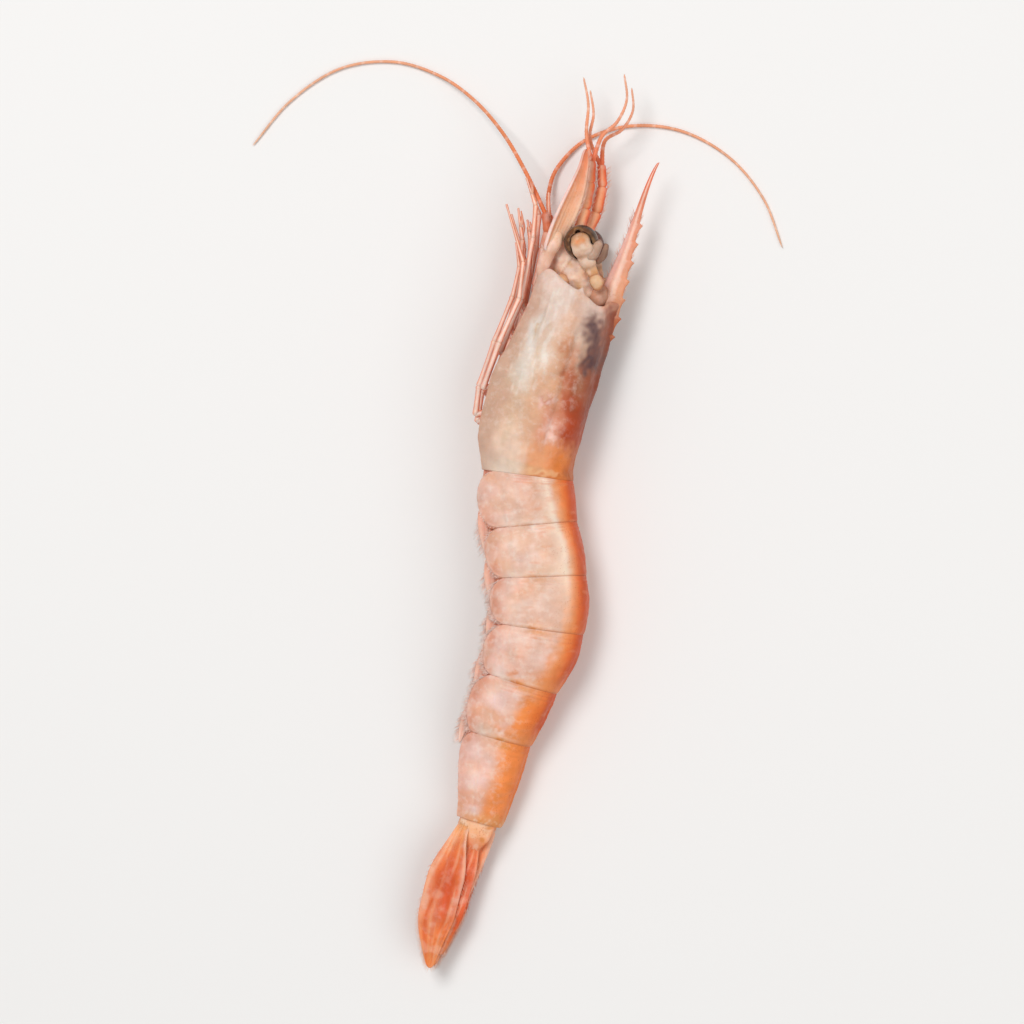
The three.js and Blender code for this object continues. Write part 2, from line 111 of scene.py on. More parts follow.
def rounded(x, power, least):
    """A width that goes from 1 to least, the more suddenly the higher the power, as x nears 1."""
    return np.sqrt(np.clip(1 - x**power, least, 1))


def ends(t):
    """1 at both ends of a path and 0 at its middle."""
    return np.abs(t - 0.5) * 2


def unit(vectors):
    return vectors / (np.linalg.norm(vectors, axis=-1, keepdims=True) + 1e-9)


def circle(count):
    return np.linspace(0, math.tau, count, endpoint=False)[None, :]


def ripple(points, size, seed):
    """Smooth noise, mostly from -1 to 1, with features about size millimetres across."""
    rng = np.random.default_rng(seed)
    count = 24
    ways = rng.normal(size=(3, count))
    ways *= math.pi / size * rng.uniform(0.6, 1.5, count) / np.linalg.norm(ways, axis=0)
    waves = np.sin(np.asarray(points) @ ways + rng.uniform(0, math.tau, count))
    return waves.sum(-1) / math.sqrt(count)


def reader(rows):
    """Reads (place, values) rows along smooth curves."""
    rows = sorted(rows)
    x = np.array([row[0] for row in rows], float)
    y = np.array([row[1] for row in rows], float)
    rise = np.vstack([y[1:], y[-1:]]) - np.vstack([y[:1], y[:-1]])
    run = np.append(x[1:], x[-1]) - np.append(x[0], x[:-1])
    slope = rise / run[:, None]

    def read(at):
        at = np.clip(np.asarray(at, float), x[0], x[-1])
        i = np.clip(np.searchsorted(x, at, side="right") - 1, 0, len(x) - 2)
        width = (x[i + 1] - x[i])[..., None]
        t = (at - x[i])[..., None] / width
        return (
            (2 * t**3 - 3 * t**2 + 1) * y[i]
            + (t**3 - 2 * t**2 + t) * width * slope[i]
            + (3 * t**2 - 2 * t**3) * y[i + 1]
            + (t**3 - t**2) * width * slope[i + 1]
        )

    return read


# ---- Body coordinates ----
JOINTS = [0.0]
for length, _, _ in SEGMENTS:
    JOINTS.append(JOINTS[-1] - length)
ABDOMEN_END = JOINTS[-1]

reaches = reader(
    [(share * CARAPACE_LENGTH, reach) for share, reach in CARAPACE_REACHES]
    + [(JOINTS[i + 1], rear) for i, (_, _, rear) in enumerate(SEGMENTS)]
)
HEADINGS = sorted(
    [(3, CARAPACE_HEADING), (ABDOMEN_END - 8, FAN_HEADING)]
    + [((JOINTS[i] + JOINTS[i + 1]) / 2, heading) for i, (_, heading, _) in enumerate(SEGMENTS)]
)
STEP = 0.25
LINE_S = np.arange(-100, 120 + STEP, STEP)


def heading_at(s):
    return np.radians(np.interp(s, *zip(*HEADINGS)))


def walked_line():
    """The body line's x and y at each of LINE_S."""
    turn = heading_at((LINE_S[1:] + LINE_S[:-1]) / 2)
    x = np.append(0, np.cumsum(STEP * np.sin(turn)))
    y = np.append(0, np.cumsum(STEP * np.cos(turn)))
    return x - np.interp(0, LINE_S, x), y - np.interp(0, LINE_S, y)


LINE_X, LINE_Y = walked_line()


def ground_point(s, d, height):
    """Body coordinates with the height above the ground in place of l."""
    s, d, height = np.broadcast_arrays(*(np.asarray(v, float) for v in (s, d, height)))
    turn = heading_at(s)
    x = np.interp(s, LINE_S, LINE_X) + d * np.cos(turn)
    y = np.interp(s, LINE_S, LINE_Y) - d * np.sin(turn)
    return np.stack([x, y, height], -1)


def middle_height(s):
    resting = np.clip(s, ABDOMEN_END, REST_SPOT)
    return reaches(resting)[..., 2] - FLATTENED + TAIL_LIFT * smooth(-np.asarray(s), 45, 58)


def body_point(s, d, l):
    return ground_point(s, d, middle_height(s) + l)


def placed(route, side=1, ahead=0):
    """The points of a route in s, d and l, moved ahead; side -1 mirrors them to the right."""
    return [body_point(s + ahead, d, side * l) for s, d, l in route]


def body_way(s, d, l):
    """A direction given in body coordinates at the head, as x, y and z."""
    return unit(body_point(40 + s, d, l) - body_point(40, 0, 0))


def lobes(s):
    return 1 - smooth(-np.asarray(s), *LOBES_END)


def hollow_at(s):
    return blend(BELLY_HOLLOW * lobes(s), THORAX_HOLLOW, smooth(s, 0, 8))


def outline(s, angle, inset, notch=0, shift=0, crest=0):
    """A point of the body's outline: angle 0 is the middle of the back, pi that of the belly."""
    reach = reaches(s)
    back, belly, side = (reach[..., k] - inset for k in range(3))
    turn = np.abs(angle)
    lower = np.cos(turn) < 0
    drop = np.minimum(np.cos(turn) / math.cos(MARGIN_ANGLE), 1)
    rise = hollow_at(s) * smooth(turn, MARGIN_ANGLE, math.pi)
    d = np.where(lower, rise - (belly - notch) * drop, (back + crest) * np.cos(turn))
    spread = side + inset * smooth(turn, MARGIN_ANGLE - 0.2, MARGIN_ANGLE + 0.2)
    l = spread * signed(np.sin(angle), np.where(lower, 0.55, 0.86))
    point = body_point(s + shift, d, l)
    point[..., 2] = np.maximum(point[..., 2], 0)
    return point, d, l


def angles(count, *crowded):
    """Angles round the body, closer together about each (turn, spread, weight) on both sides."""
    fine = np.linspace(-math.pi, math.pi, 4001)
    density = 1 + sum(weight * bump(np.abs(fine), turn, spread) for turn, spread, weight in crowded)
    total = np.append(0, np.cumsum((density[1:] + density[:-1]) / 2))
    return np.interp(np.arange(count) / count * total[-1], total, fine)[None, :]


# ---- Colours ----


def rgb(code):
    """A colour code as linear red, green and blue."""
    value = np.array([int(code[i : i + 2], 16) / 255 for i in (1, 3, 5)])
    return np.where(value <= 0.04045, value / 12.92, ((value + 0.055) / 1.055) ** 2.4)


def ramp(x, *stops):
    """A colour for each x, between (place, code) stops."""
    places, codes = zip(*sorted(stops))
    colours = np.array([rgb(code) for code in codes])
    return np.stack([np.interp(x, places, colours[:, k]) for k in range(3)], -1)


def painted(like, base, *layers):
    """A colour for each point of like: the base, then each (code, amount from 0 to 1) over it."""
    base = rgb(base) if isinstance(base, str) else base
    colour = np.array(np.broadcast_to(base, (*np.shape(like), 3)))
    for code, amount in layers:
        colour += (rgb(code) - colour) * np.clip(amount, 0, 1)[..., None]
    return colour


# ---- Skins ----


class Skin:
    """Closed surfaces in millimetres. Each point has a colour and two marks: how much it shows
    white flecks, and how much it shows red dots."""

    def __init__(self):
        self.points, self.faces, self.colours, self.marks, self.finishes = [], [], [], [], []
        self.count = 0

    def add(self, points, faces, colours, marks=(0, 0), finish=0):
        """Adds one closed surface, with its faces turned outwards."""
        a, b, c = (points[np.array([face[k] for face in faces])] - points.mean(0) for k in range(3))
        if np.einsum("ij,ij->", a, np.cross(b, c)) < 0:
            faces = [face[::-1] for face in faces]
        self.faces += [[self.count + k for k in face] for face in faces]
        self.finishes += [finish] * len(faces)
        self.points.append(points)
        self.colours.append(np.broadcast_to(colours, (len(points), 3)))
        self.marks.append(np.broadcast_to(marks, (len(points), 2)))
        self.count += len(points)

    def rings(self, rings, colours, marks=(0, 0)):
        """Adds a closed skin over rings of points (rows, columns, 3), its ends closed."""
        rows, columns = rings.shape[:2]
        i, j = (v.ravel() for v in np.mgrid[0 : rows - 1, 0:columns])
        here, ahead = i * columns, (i + 1) * columns
        k = (j + 1) % columns
        faces = np.stack([here + j, here + k, ahead + k, ahead + j], -1).tolist()
        last = (rows - 1) * columns
        for j in range(columns):
            k = (j + 1) % columns
            faces += [[rows * columns, k, j], [rows * columns + 1, last + j, last + k]]

        def flat(values):
            depth = np.shape(values)[-1]
            values = np.broadcast_to(values, (rows, columns, depth))
            middles = [values[0].mean(0)[None], values[-1].mean(0)[None]]
            return np.concatenate([values.reshape(-1, depth), *middles])

        self.add(flat(rings), faces, flat(colours), flat(marks))

    def hairs(self, roots, tips, half, codes, bow=0, floor=-math.inf):
        """Adds fine three-sided hairs from roots to tips, raised by bow at their middle. half is
        their half thickness, codes their colours at both ends, floor the tips' least height."""
        tips[:, 2] = np.maximum(tips[:, 2], floor)
        across = unit(np.cross(tips - roots, [0.31, 0.17, 0.94]))
        other = unit(np.cross(tips - roots, across))
        corner = [math.tau * k / 3 for k in range(3)]
        ring = half * np.stack([across * math.cos(a) + other * math.sin(a) for a in corner], 1)
        middle = (roots + tips)[:, None] / 2 + [0, 0, bow] + ring * 0.7
        points = np.concatenate([roots[:, None] + ring, middle, tips[:, None]], 1)
        points[..., 2] = np.maximum(points[..., 2], 0)
        pattern = [[2, 1, 0], [3, 4, 6], [4, 5, 6], [5, 3, 6]]
        pattern += [[k, (k + 1) % 3, 3 + (k + 1) % 3, 3 + k] for k in range(3)]
        faces = [[7 * n + k for k in face] for n in range(len(roots)) for face in pattern]
        shade = np.array([0, 0, 0, 0.5, 0.5, 0.5, 1])[:, None]
        colours = np.tile(blend(rgb(codes[0]), rgb(codes[1]), shade), (len(roots), 1))
        self.add(points.reshape(-1, 3), faces, colours, finish=1)

    def fringe(self, rings, path, along, row, column, lean, length, half, codes, **more):
        """Adds hairs on rings of a rod. lean is how far they point outwards, along the rod, and,
        where it has a third value, astray."""
        roots = rings[row, column]
        ways = unit(roots - path[row]) * lean[0] + along[row] * lean[1] + sum(lean[2:])
        self.hairs(roots, roots + ways * length, half, codes, **more)

    def place(self, name, slot, finish):
        """Makes the object that stands for the solid of the same sub-part."""
        mesh = bpy.data.meshes.new(name)
        points = (np.concatenate(self.points) + [*FOOTPRINT, 0]) * MM
        mesh.from_pydata(points.tolist(), [], self.faces)
        for attribute, values in (("tint", self.colours), ("marks", self.marks)):
            values = np.concatenate(values)
            rgba = np.ones((self.count, 4), np.float32)
            rgba[:, : values.shape[1]] = values
            layer = mesh.color_attributes.new(attribute, "FLOAT_COLOR", "POINT")
            layer.data.foreach_set("color", rgba.ravel())
        mesh.shade_smooth()
        mesh.materials.append(finish)
        if any(self.finishes):
            mesh.materials.append(BRISTLE)
            mesh.polygons.foreach_set("material_index", self.finishes)
        piece = linked(name + "_fine", mesh)
        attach(piece, "root")
        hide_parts(name)


def linked(name, data):
    """A new object in the scene."""
    made = bpy.data.objects.new(name, data)
    bpy.context.scene.collection.objects.link(made)
    return made


def curve(points, count):
    """Points spread evenly along a smooth curve through the given ones."""
    points = np.asarray(points, float)
    p = np.vstack([2 * points[0] - points[1], points, 2 * points[-1] - points[-2]])
    t = np.linspace(0, 1, 24, endpoint=False)[:, None]
    dense = []
    for a, b, c, e in zip(p, p[1:], p[2:], p[3:]):
        bend, twist = 2 * a - 5 * b + 4 * c - e, 3 * b - a - 3 * c + e
        dense.append(0.5 * (2 * b + (c - a) * t + bend * t**2 + twist * t**3))
    dense = np.vstack([*dense, points[-1:]])
    travel = np.append(0, np.cumsum(np.linalg.norm(np.diff(dense, axis=0), axis=1)))
    at = np.linspace(0, travel[-1], count)
    return np.stack([np.interp(at, travel, dense[:, k]) for k in range(3)], -1)


def directions(path, up=(0, 0, 1)):
    """Unit vectors along a path, across it, and square to both, near up."""
    along = unit(np.gradient(path, axis=0))
    across = unit(np.cross(along, up))
    return along, across, np.cross(across, along)


def rod_rings(path, width, depth, sides, up=(0, 0, 1), relief=0):
    """Rings along a path, with each point's share of the path and its angle. width and depth are
    half sizes for each point of the path; the depth is near up. relief is added to both."""
    _, across, thick = directions(path, up)
    angle = circle(sides)
    share = np.linspace(0, 1, len(path))[:, None]
    x = (width[:, None] + relief) * np.sin(angle)
    y = (depth[:, None] + relief) * np.cos(angle)
    rings = path[:, None] + across[:, None] * x[..., None] + thick[:, None] * y[..., None]
    return rings, share + 0 * angle, angle + 0 * share


# ---- Materials ----


class Finish:
    """A new material whose colour is painted on the mesh, with the nodes that vary it."""

    def __init__(self, name):
        self.material = bpy.data.materials.new(name)
        self.material.use_nodes = True
        self.tree = self.material.node_tree
        self.where = self.node("TexCoord", "Object")
        self.tint = self.node("Attribute", "Color", attribute_name="tint")

    def plug(self, made, inputs):
        for key, value in inputs.items():
            if isinstance(value, bpy.types.NodeSocket):
                self.tree.links.new(value, made.inputs[key])
            else:
                made.inputs[key].default_value = value

    def node(self, kind, output, inputs=None, **settings):
        """Adds a node and gives one of its outputs."""
        made = self.tree.nodes.new("ShaderNode" + kind)
        for key, value in settings.items():
            setattr(made, key, value)
        self.plug(made, inputs or {})
        return made.outputs[output]

    def noise(self, scale, detail=3, roughness=0.55):
        inputs = {"Vector": self.where, "Scale": scale, "Detail": detail, "Roughness": roughness}
        return self.node("TexNoise", "Fac", inputs)

    def spread(self, value, low, high, new_low=0.0, new_high=1.0):
        inputs = {"Value": value, "From Min": low, "From Max": high}
        return self.node("MapRange", "Result", {**inputs, "To Min": new_low, "To Max": new_high})

    def varied(self, shade):
        return self.node("HueSaturation", "Color", {"Color": self.tint, "Value": shade})

    def times(self, a, b):
        return self.node("Math", 0, {0: a, 1: b}, operation="MULTIPLY")

    def over(self, colour, code, amount):
        inputs = {0: amount, 6: colour, 7: (*rgb(code), 1)}
        return self.node("Mix", 2, inputs, data_type="RGBA")

    def bumps(self, height, strength, distance):
        inputs = {"Height": height, "Strength": strength, "Distance": distance}
        return self.node("Bump", "Normal", inputs)

    def done(self, inputs):
        self.plug(self.tree.nodes["Principled BSDF"], inputs)
        return self.material


def fleshy(name, rough=0.42, coat=0.12, glow=0.22, bumps=0.22, grain=1400.0):
    """A wet, slightly translucent finish with pale flecks, red dots, clouds and fine bumps."""
    f = Finish(name)
    marks = f.node("Attribute", "Color", attribute_name="marks")
    flecked = f.node("SeparateColor", "Red", {"Color": marks})
    dotted = flecked.node.outputs["Green"]
    colour = f.varied(f.spread(f.noise(330.0, 4), 0.3, 0.7, 0.9, 1.1))
    flecks = f.spread(f.noise(900.0, 3, 0.6), 0.48, 0.78)
    colour = f.over(colour, "#f6e9e0", f.times(flecks, flecked))
    cells = f.node("TexVoronoi", "Distance", {"Vector": f.where, "Scale": 2900.0})
    crowds = f.spread(f.noise(520.0, 2), 0.42, 0.62)
    spots = f.times(f.spread(cells, 0.1, 0.36, 0.8, 0.0), crowds)
    colour = f.over(colour, "#c2532c", f.times(spots, dotted))
    fine = f.noise(grain, 4, 0.6)
    relief = f.node("Math", 0, {0: flecks, 1: 0.35, 2: fine}, operation="MULTIPLY_ADD")
    pushed = f.bumps(relief, bumps, 0.00025)
    return f.done({
        "Base Color": colour,
        "Roughness": f.spread(f.noise(700.0), 0.3, 0.7, rough - 0.1, rough + 0.12),
        "Normal": pushed,
        "Coat Normal": pushed,
        "Subsurface Weight": glow,
        "Subsurface Radius": (1.0, 0.5, 0.3),
        "Subsurface Scale": 0.0007,
        "Coat Weight": coat,
        "Coat Roughness": 0.2,
        "Coat IOR": 1.38,
        "IOR": 1.36,
        "Specular IOR Level": 0.3,
    })


def bristle():
    """Fine hairs: their painted colour, a little varied, and no translucency."""
    f = Finish("bristle")
    colour = f.varied(f.spread(f.noise(900.0, 2), 0.3, 0.7, 0.9, 1.15))
    return f.done({"Base Color": colour, "Roughness": 0.5})


def cornea():
    """A dark, painted eye under a smooth wet skin with very fine facets."""
    f = Finish("cornea")
    facets = f.node("TexVoronoi", "Distance", {"Vector": f.where, "Scale": 9000.0})
    return f.done({
        "Base Color": f.varied(f.spread(f.noise(900.0), 0.35, 0.7, 0.7, 1.4)),
        "Normal": f.bumps(facets, 0.12, 0.00005),
        "Roughness": f.spread(f.noise(1600.0, 2), 0.3, 0.7, 0.16, 0.3),
        "Coat Weight": 0.3,
        "Coat Roughness": 0.08,
        "Specular IOR Level": 0.35,
    })


SHELL = fleshy("shell")
LIMB = fleshy("limb", rough=0.38, coat=0.25, glow=0.25, bumps=0.2, grain=2600.0)
FAN = fleshy("fan", rough=0.4, coat=0.18, glow=0.2, bumps=0.3, grain=2200.0)
FEELER = fleshy("feeler", rough=0.42, coat=0.2, glow=0.1, bumps=0.15, grain=3000.0)
BRISTLE = bristle()
CORNEA = cornea()


# ---- Abdomen ----

PLATE_TONES = (
    (-60, "#ecae92"), (-50, "#eebca6"), (-40, "#ebb79c"), (-30, "#ecc1af"), (-20, "#e8bba2"),
    (-10, "#e6bba2"), (0, "#e1b49e"),
)
ORANGE_BACK = np.array([  # s, and the cosines of the turn at which the orange starts and is full
    (-60, -0.25, 0.4), (-52, -0.12, 0.5), (-45, 0.0, 0.55), (-36, 0.24, 0.66), (-30, 0.44, 0.74),
    (-24, 0.6, 0.82), (-16, 0.62, 0.84), (-8, 0.6, 0.8), (0, 0.55, 0.76),
]).T


def plate_edge(share, s):
    """The turn at which a side plate ends: its corners are rounded off towards both joints."""
    corner = 1 - np.sin(math.pi * np.clip(share, 0, 1)) ** 0.26
    return MARGIN_ANGLE + 0.03 - 0.72 * corner * lobes(s)


def abdomen_colour(s, turn, share, points):
    """Pale pink plates, orange along the back, with a painted highlight line beside the orange."""
    c = np.cos(turn)
    cloud, fine, grain = (ripple(points, *how) for how in ((3.0, 11), (0.9, 12), (0.45, 13)))
    start, full = (np.interp(s, ORANGE_BACK[0], values) for values in ORANGE_BACK[1:])
    wander = 0.035 * fine + 0.06 * cloud * smooth(-s, 26, 40)
    # How much deep orange the back's edge gets: partly its own colour, partly painted shade where
    # the side turns from the light; less of it towards the tail.
    deep_and_shade = 0.95 - 0.665 * smooth(-s, 40, 48)
    # A pale line beside the orange, painted as a highlight.
    beside = np.interp(s, [-26, -12, -4, 0], [0.74, 0.7, 0.58, 0.5])
    painted_highlight_line = bump(c, beside - 0.03, 0.13) * 0.6 + bump(c, beside, 0.05) * 0.3
    lines = bump(share, 0.03, 0.016) + bump(share, 0.09, 0.012) + 0.8 * bump(share, 0.155, 0.014)
    broken = smooth(ripple(points * [1, 0.3, 1], 1.5, 17), -0.3, 0.8) * smooth(c, -0.45, 0.15)
    hinge = bump(turn, 1.42, 0.2) * bump(share, 0.98, 0.06)
    hinge = hinge + 0.6 * bump(turn, 1.3, 0.24) * bump(share, 0.05, 0.06)
    knot = smooth(fine + 0.5 * grain, -0.7, 0.6) * bump(s, -43.9, 0.9) * bump(turn, 1.5, 0.26)
    stain = smooth(share, 0.55, 0.95) * smooth(c + 0.3 * cloud, -0.15, 0.6) * smooth(-s, 20, 34)
    blot = smooth(fine + 0.4 * cloud, -0.6, 0.7) * bump(s, -34.0, 1.5) * bump(turn, 1.5, 0.24)
    end = smooth(s + 0.4 * fine, ABDOMEN_END + 2.4, ABDOMEN_END + 0.6)
    fibres = ripple(points * [1, 3.0, 1], 1.6, 14)
    edge = plate_edge(share, s)
    low = smooth(c, -0.3, -0.78) * smooth(-s, -6, 14) * (1 - 0.4 * smooth(-s, 46, 52))
    joint = 0.4 * (bump(share, 0.0, 0.13) + bump(share, 1.0, 0.15))
    mottled = 0.3 + 0.45 * smooth(cloud + 0.6 * fine, -0.6, 0.8)
    flesh = smooth(turn, edge - 0.01, edge + 0.05)
    hatch = ripple(points * [2.4, 1, 1], 0.7, 18)
    light = (0.5 - 0.2 * smooth(s, -12, -2)) * smooth(cloud + 0.3 * fine, 0.0, 1.3)
    lilac = (0.35 + 0.4 * smooth(-s, 24, 40)) * smooth(ripple(points, 3.6, 15), -0.4, 0.9)
    return painted(
        s, ramp(s, *PLATE_TONES),
        ("#f4dace", light * smooth(c, 0.75, 0.2)),
        ("#e0a07a", 0.35 * smooth(-cloud + 0.3 * grain, 0.2, 1.4)),
        ("#efcdc6", lilac * smooth(c, 0.5, -0.2)),
        ("#ee9558", 0.95 * smooth(c + wander, start, full)),
        ("#f78c3e", 0.6 * smooth(-s, 32, 39) * smooth(c + wander, start + 0.15, full + 0.1)),
        # Deep orange to red at the back's edge: its own colour and painted shade where it turns
        # from the light.
        ("#e8702a", deep_and_shade * smooth(c + 0.4 * wander, full - 0.06, 0.93)),
        ("#d04e14", deep_and_shade * smooth(c, 0.84, 0.98)),
        # The painted highlight line beside the orange.
        ("#fae0cb", painted_highlight_line * smooth(s + 0.8 * fine, -27, -14)),
        ("#dc7440", 0.35 * np.clip(lines, 0, 1) * broken),
        ("#e08a30", np.clip(1.1 * hinge * smooth(-s, 6, 36), 0, 0.9)),
        ("#e0802f", 0.8 * knot),
        ("#e88f58", 0.65 * stain),
        ("#e07a38", 0.75 * blot),
        ("#cf6f40", 0.5 * bump(share, 1.0, 0.022) * smooth(c + 0.25 * fine, -0.6, 0.3)),
        # A painted highlight on the raised rim just ahead of each joint.
        ("#f9e4d6", 0.2 * bump(share, 0.945, 0.03) * smooth(c, -0.9, -0.1) * smooth(c, 0.8, 0.5)),
        ("#e8985a", 0.7 * end * smooth(c, -0.95, -0.5)),
        ("#f4cbaa", 0.35 * end * smooth(grain, 0.2, 0.9)),
        ("#e39468", 0.28 * smooth(fibres, 0.6, 1.5) * smooth(c, -0.6, 0.2)),
        ("#d98a6a", low * np.clip(mottled + joint, 0, 0.85)),
        ("#f0c8ba", 0.4 * smooth(turn, edge - 0.2, edge - 0.05) * smooth(fine, -0.6, 0.6)),
        ("#d98f74", 0.9 * flesh),
        ("#f0bba4", 0.7 * flesh * smooth(hatch, 0.0, 0.8)),
        ("#b85a3c", 0.5 * flesh * smooth(-hatch + 0.4 * fine, 0.3, 1.2)),
    )


def lobe_notch(s, front, rear):
    share = np.clip((front - s) / (front - rear), 0, 1)
    return LOBE_NOTCH * lobes(s) * (1 - np.sin(math.pi * share) ** 0.5)


def margin_hairs(skin, front, rear, side, rng):
    """Fine hairs along a side plate's lower edge, longest towards the tail."""
    middle = (front + rear) / 2
    wanted = (0.25 + 0.75 * smooth(-middle, 6, 24)) * (1 - smooth(-middle, 48, 54))
    count = int(230 * wanted)
    if count < 4:
        return
    s = rng.uniform(rear + 0.1, front - 0.3, count)
    turn = side * (plate_edge((front - s) / (front - rear), s) - 0.03)
    roots = outline(s, turn, 0.1, lobe_notch(s, front, rear))[0]
    length = rng.uniform(0.45, 1.35, count) * (0.45 + 0.75 * wanted)
    lean = rng.normal(0.7, 0.4, count)
    ways = ground_point(s - lean, -10.0, 0) - ground_point(s, -9.0, 0)
    ways[:, 2] = rng.normal(-0.1, 0.25, count)
    tips = roots + unit(ways) * length[:, None]
    skin.hairs(roots, tips, 0.055, ("#f2cabb", "#fbeae1"), 0.03, HAIR_FLOOR)


def abdomen_segment(number):
    """One plate: a neck that slides inside the plate ahead, the plate, and its folded rear edge."""
    front, rear = JOINTS[number], JOINTS[number + 1]
    span = front - rear
    neck = [(front + 1.2, 0.7), (front + 0.3, 0.5), (front + 0.02, SUNK + 0.05)]
    down = np.linspace(0.012, 0.99, 90)
    plate = zip(front - down * span, SUNK * (1 - smooth(down, 0.0, 0.16)))
    fold = [(rear, 0.015), (rear - 0.03, 0.05), (rear, 0.09), (rear + 0.12, LIP)]
    fold += [(rear + OVERLAP, LIP + 0.04)]
    s, inset = (np.array(values)[:, None] for values in zip(*neck, *plate, *fold))
    angle = angles(300, (2.3, 0.35, 1.8), (0, 0.15, 0.8))
    turn = np.abs(angle) + 0 * s
    c = np.cos(turn)
    share = np.clip((front - s) / span, 0, 1) + 0 * angle
    outer = np.ones((len(s), 1))
    outer[: len(neck)] = 0
    outer[-3:] = 0
    notch = lobe_notch(s, front, rear)
    points = outline(s, angle, inset, notch)[0]
    fade = np.sin(math.pi * share) ** 0.5
    swell = 0.16 * np.sin(math.pi * share) * np.cos(turn * 0.5)
    crease = 0.12 * bump(turn, 1.9 + 0.08 * ripple(points, 4, 21), 0.07) * fade
    pleats = 0.014 * ripple(points * [1, 3.4, 1], 2.0, 22) + 0.014 * ripple(points, 0.8, 23)
    dents = 0.05 * ripple(points, 2.4, 24) + 0.08 * ripple(points, 4.5, 25)
    keel = 0.3 * bump(turn, 0, 0.09) * smooth(-s, 22, 34) * fade
    rim = 0.02 * bump(share, 0.94, 0.03) - 0.035 * smooth(share, 0.965, 1.0)
    hinge = 0.22 * bump(share, 0.94, 0.045) - 0.2 * bump(share, 0.08, 0.05)
    wrinkles = -0.05 * (bump(share, 0.09, 0.012) + bump(share, 0.155, 0.014))
    edge = plate_edge(share, s)
    margin = 0.06 * bump(turn, edge - 0.08, 0.06)
    step = EDGE_STEP * smooth(turn, edge - 0.015, edge + 0.035)
    flesh = smooth(turn, edge, edge + 0.1)
    fibres = 0.12 * flesh * ripple(points * [2.4, 1, 1], 0.8, 18)
    relief = swell - crease + (pleats + dents) * fade + keel + rim + margin
    relief += hinge * bump(turn, 1.45, 0.1) + wrinkles * smooth(c, -0.4, 0.3)
    relief = (relief * (1 - flesh) - step + fibres) * outer
    flecks = 0.4 * smooth(c, 0.8, 0.3) * (1 - 0.6 * flesh)
    dots = 0.12 + 0.6 * smooth(c, 0.3, 0.9)
    skin = Skin()
    colours = abdomen_colour(s + 0 * angle, turn, share, points)
    skin.rings(outline(s, angle, inset - relief, notch)[0], colours, np.stack([flecks, dots], -1))
    rng = np.random.default_rng(100 + number)
    for side in (1, -1):
        margin_hairs(skin, front, rear, side, rng)
    return skin


# ---- Carapace and rostrum ----

CARAPACE_TONES = (
    (0, "#f0d2bf"), (5, "#e4c3ac"), (10, "#d5ae91"), (15, "#d6b79d"), (22, "#d8baa3"),
    (31, "#dfc2b4"),
)
PATCH = (21.2, 5.8), (27.4, 3.9)  # the dark patch's ends
CARAPACE_LUMPS = (0.1, 3.2, 41), (0.03, 1.2, 42), (0.014, 0.5, 43)  # height, size and seed


def streak(s, d, start, end, size, power=2.0):
    """1 on a line on the side, falling to 0 about size millimetres away."""
    a, b = np.array(start, float), np.array(end, float) - start
    t = np.clip(((s - a[0]) * b[0] + (d - a[1]) * b[1]) / (b @ b or 1), 0, 1)
    return np.exp(-((np.hypot(s - a[0] - t * b[0], d - a[1] - t * b[1]) / size) ** power))


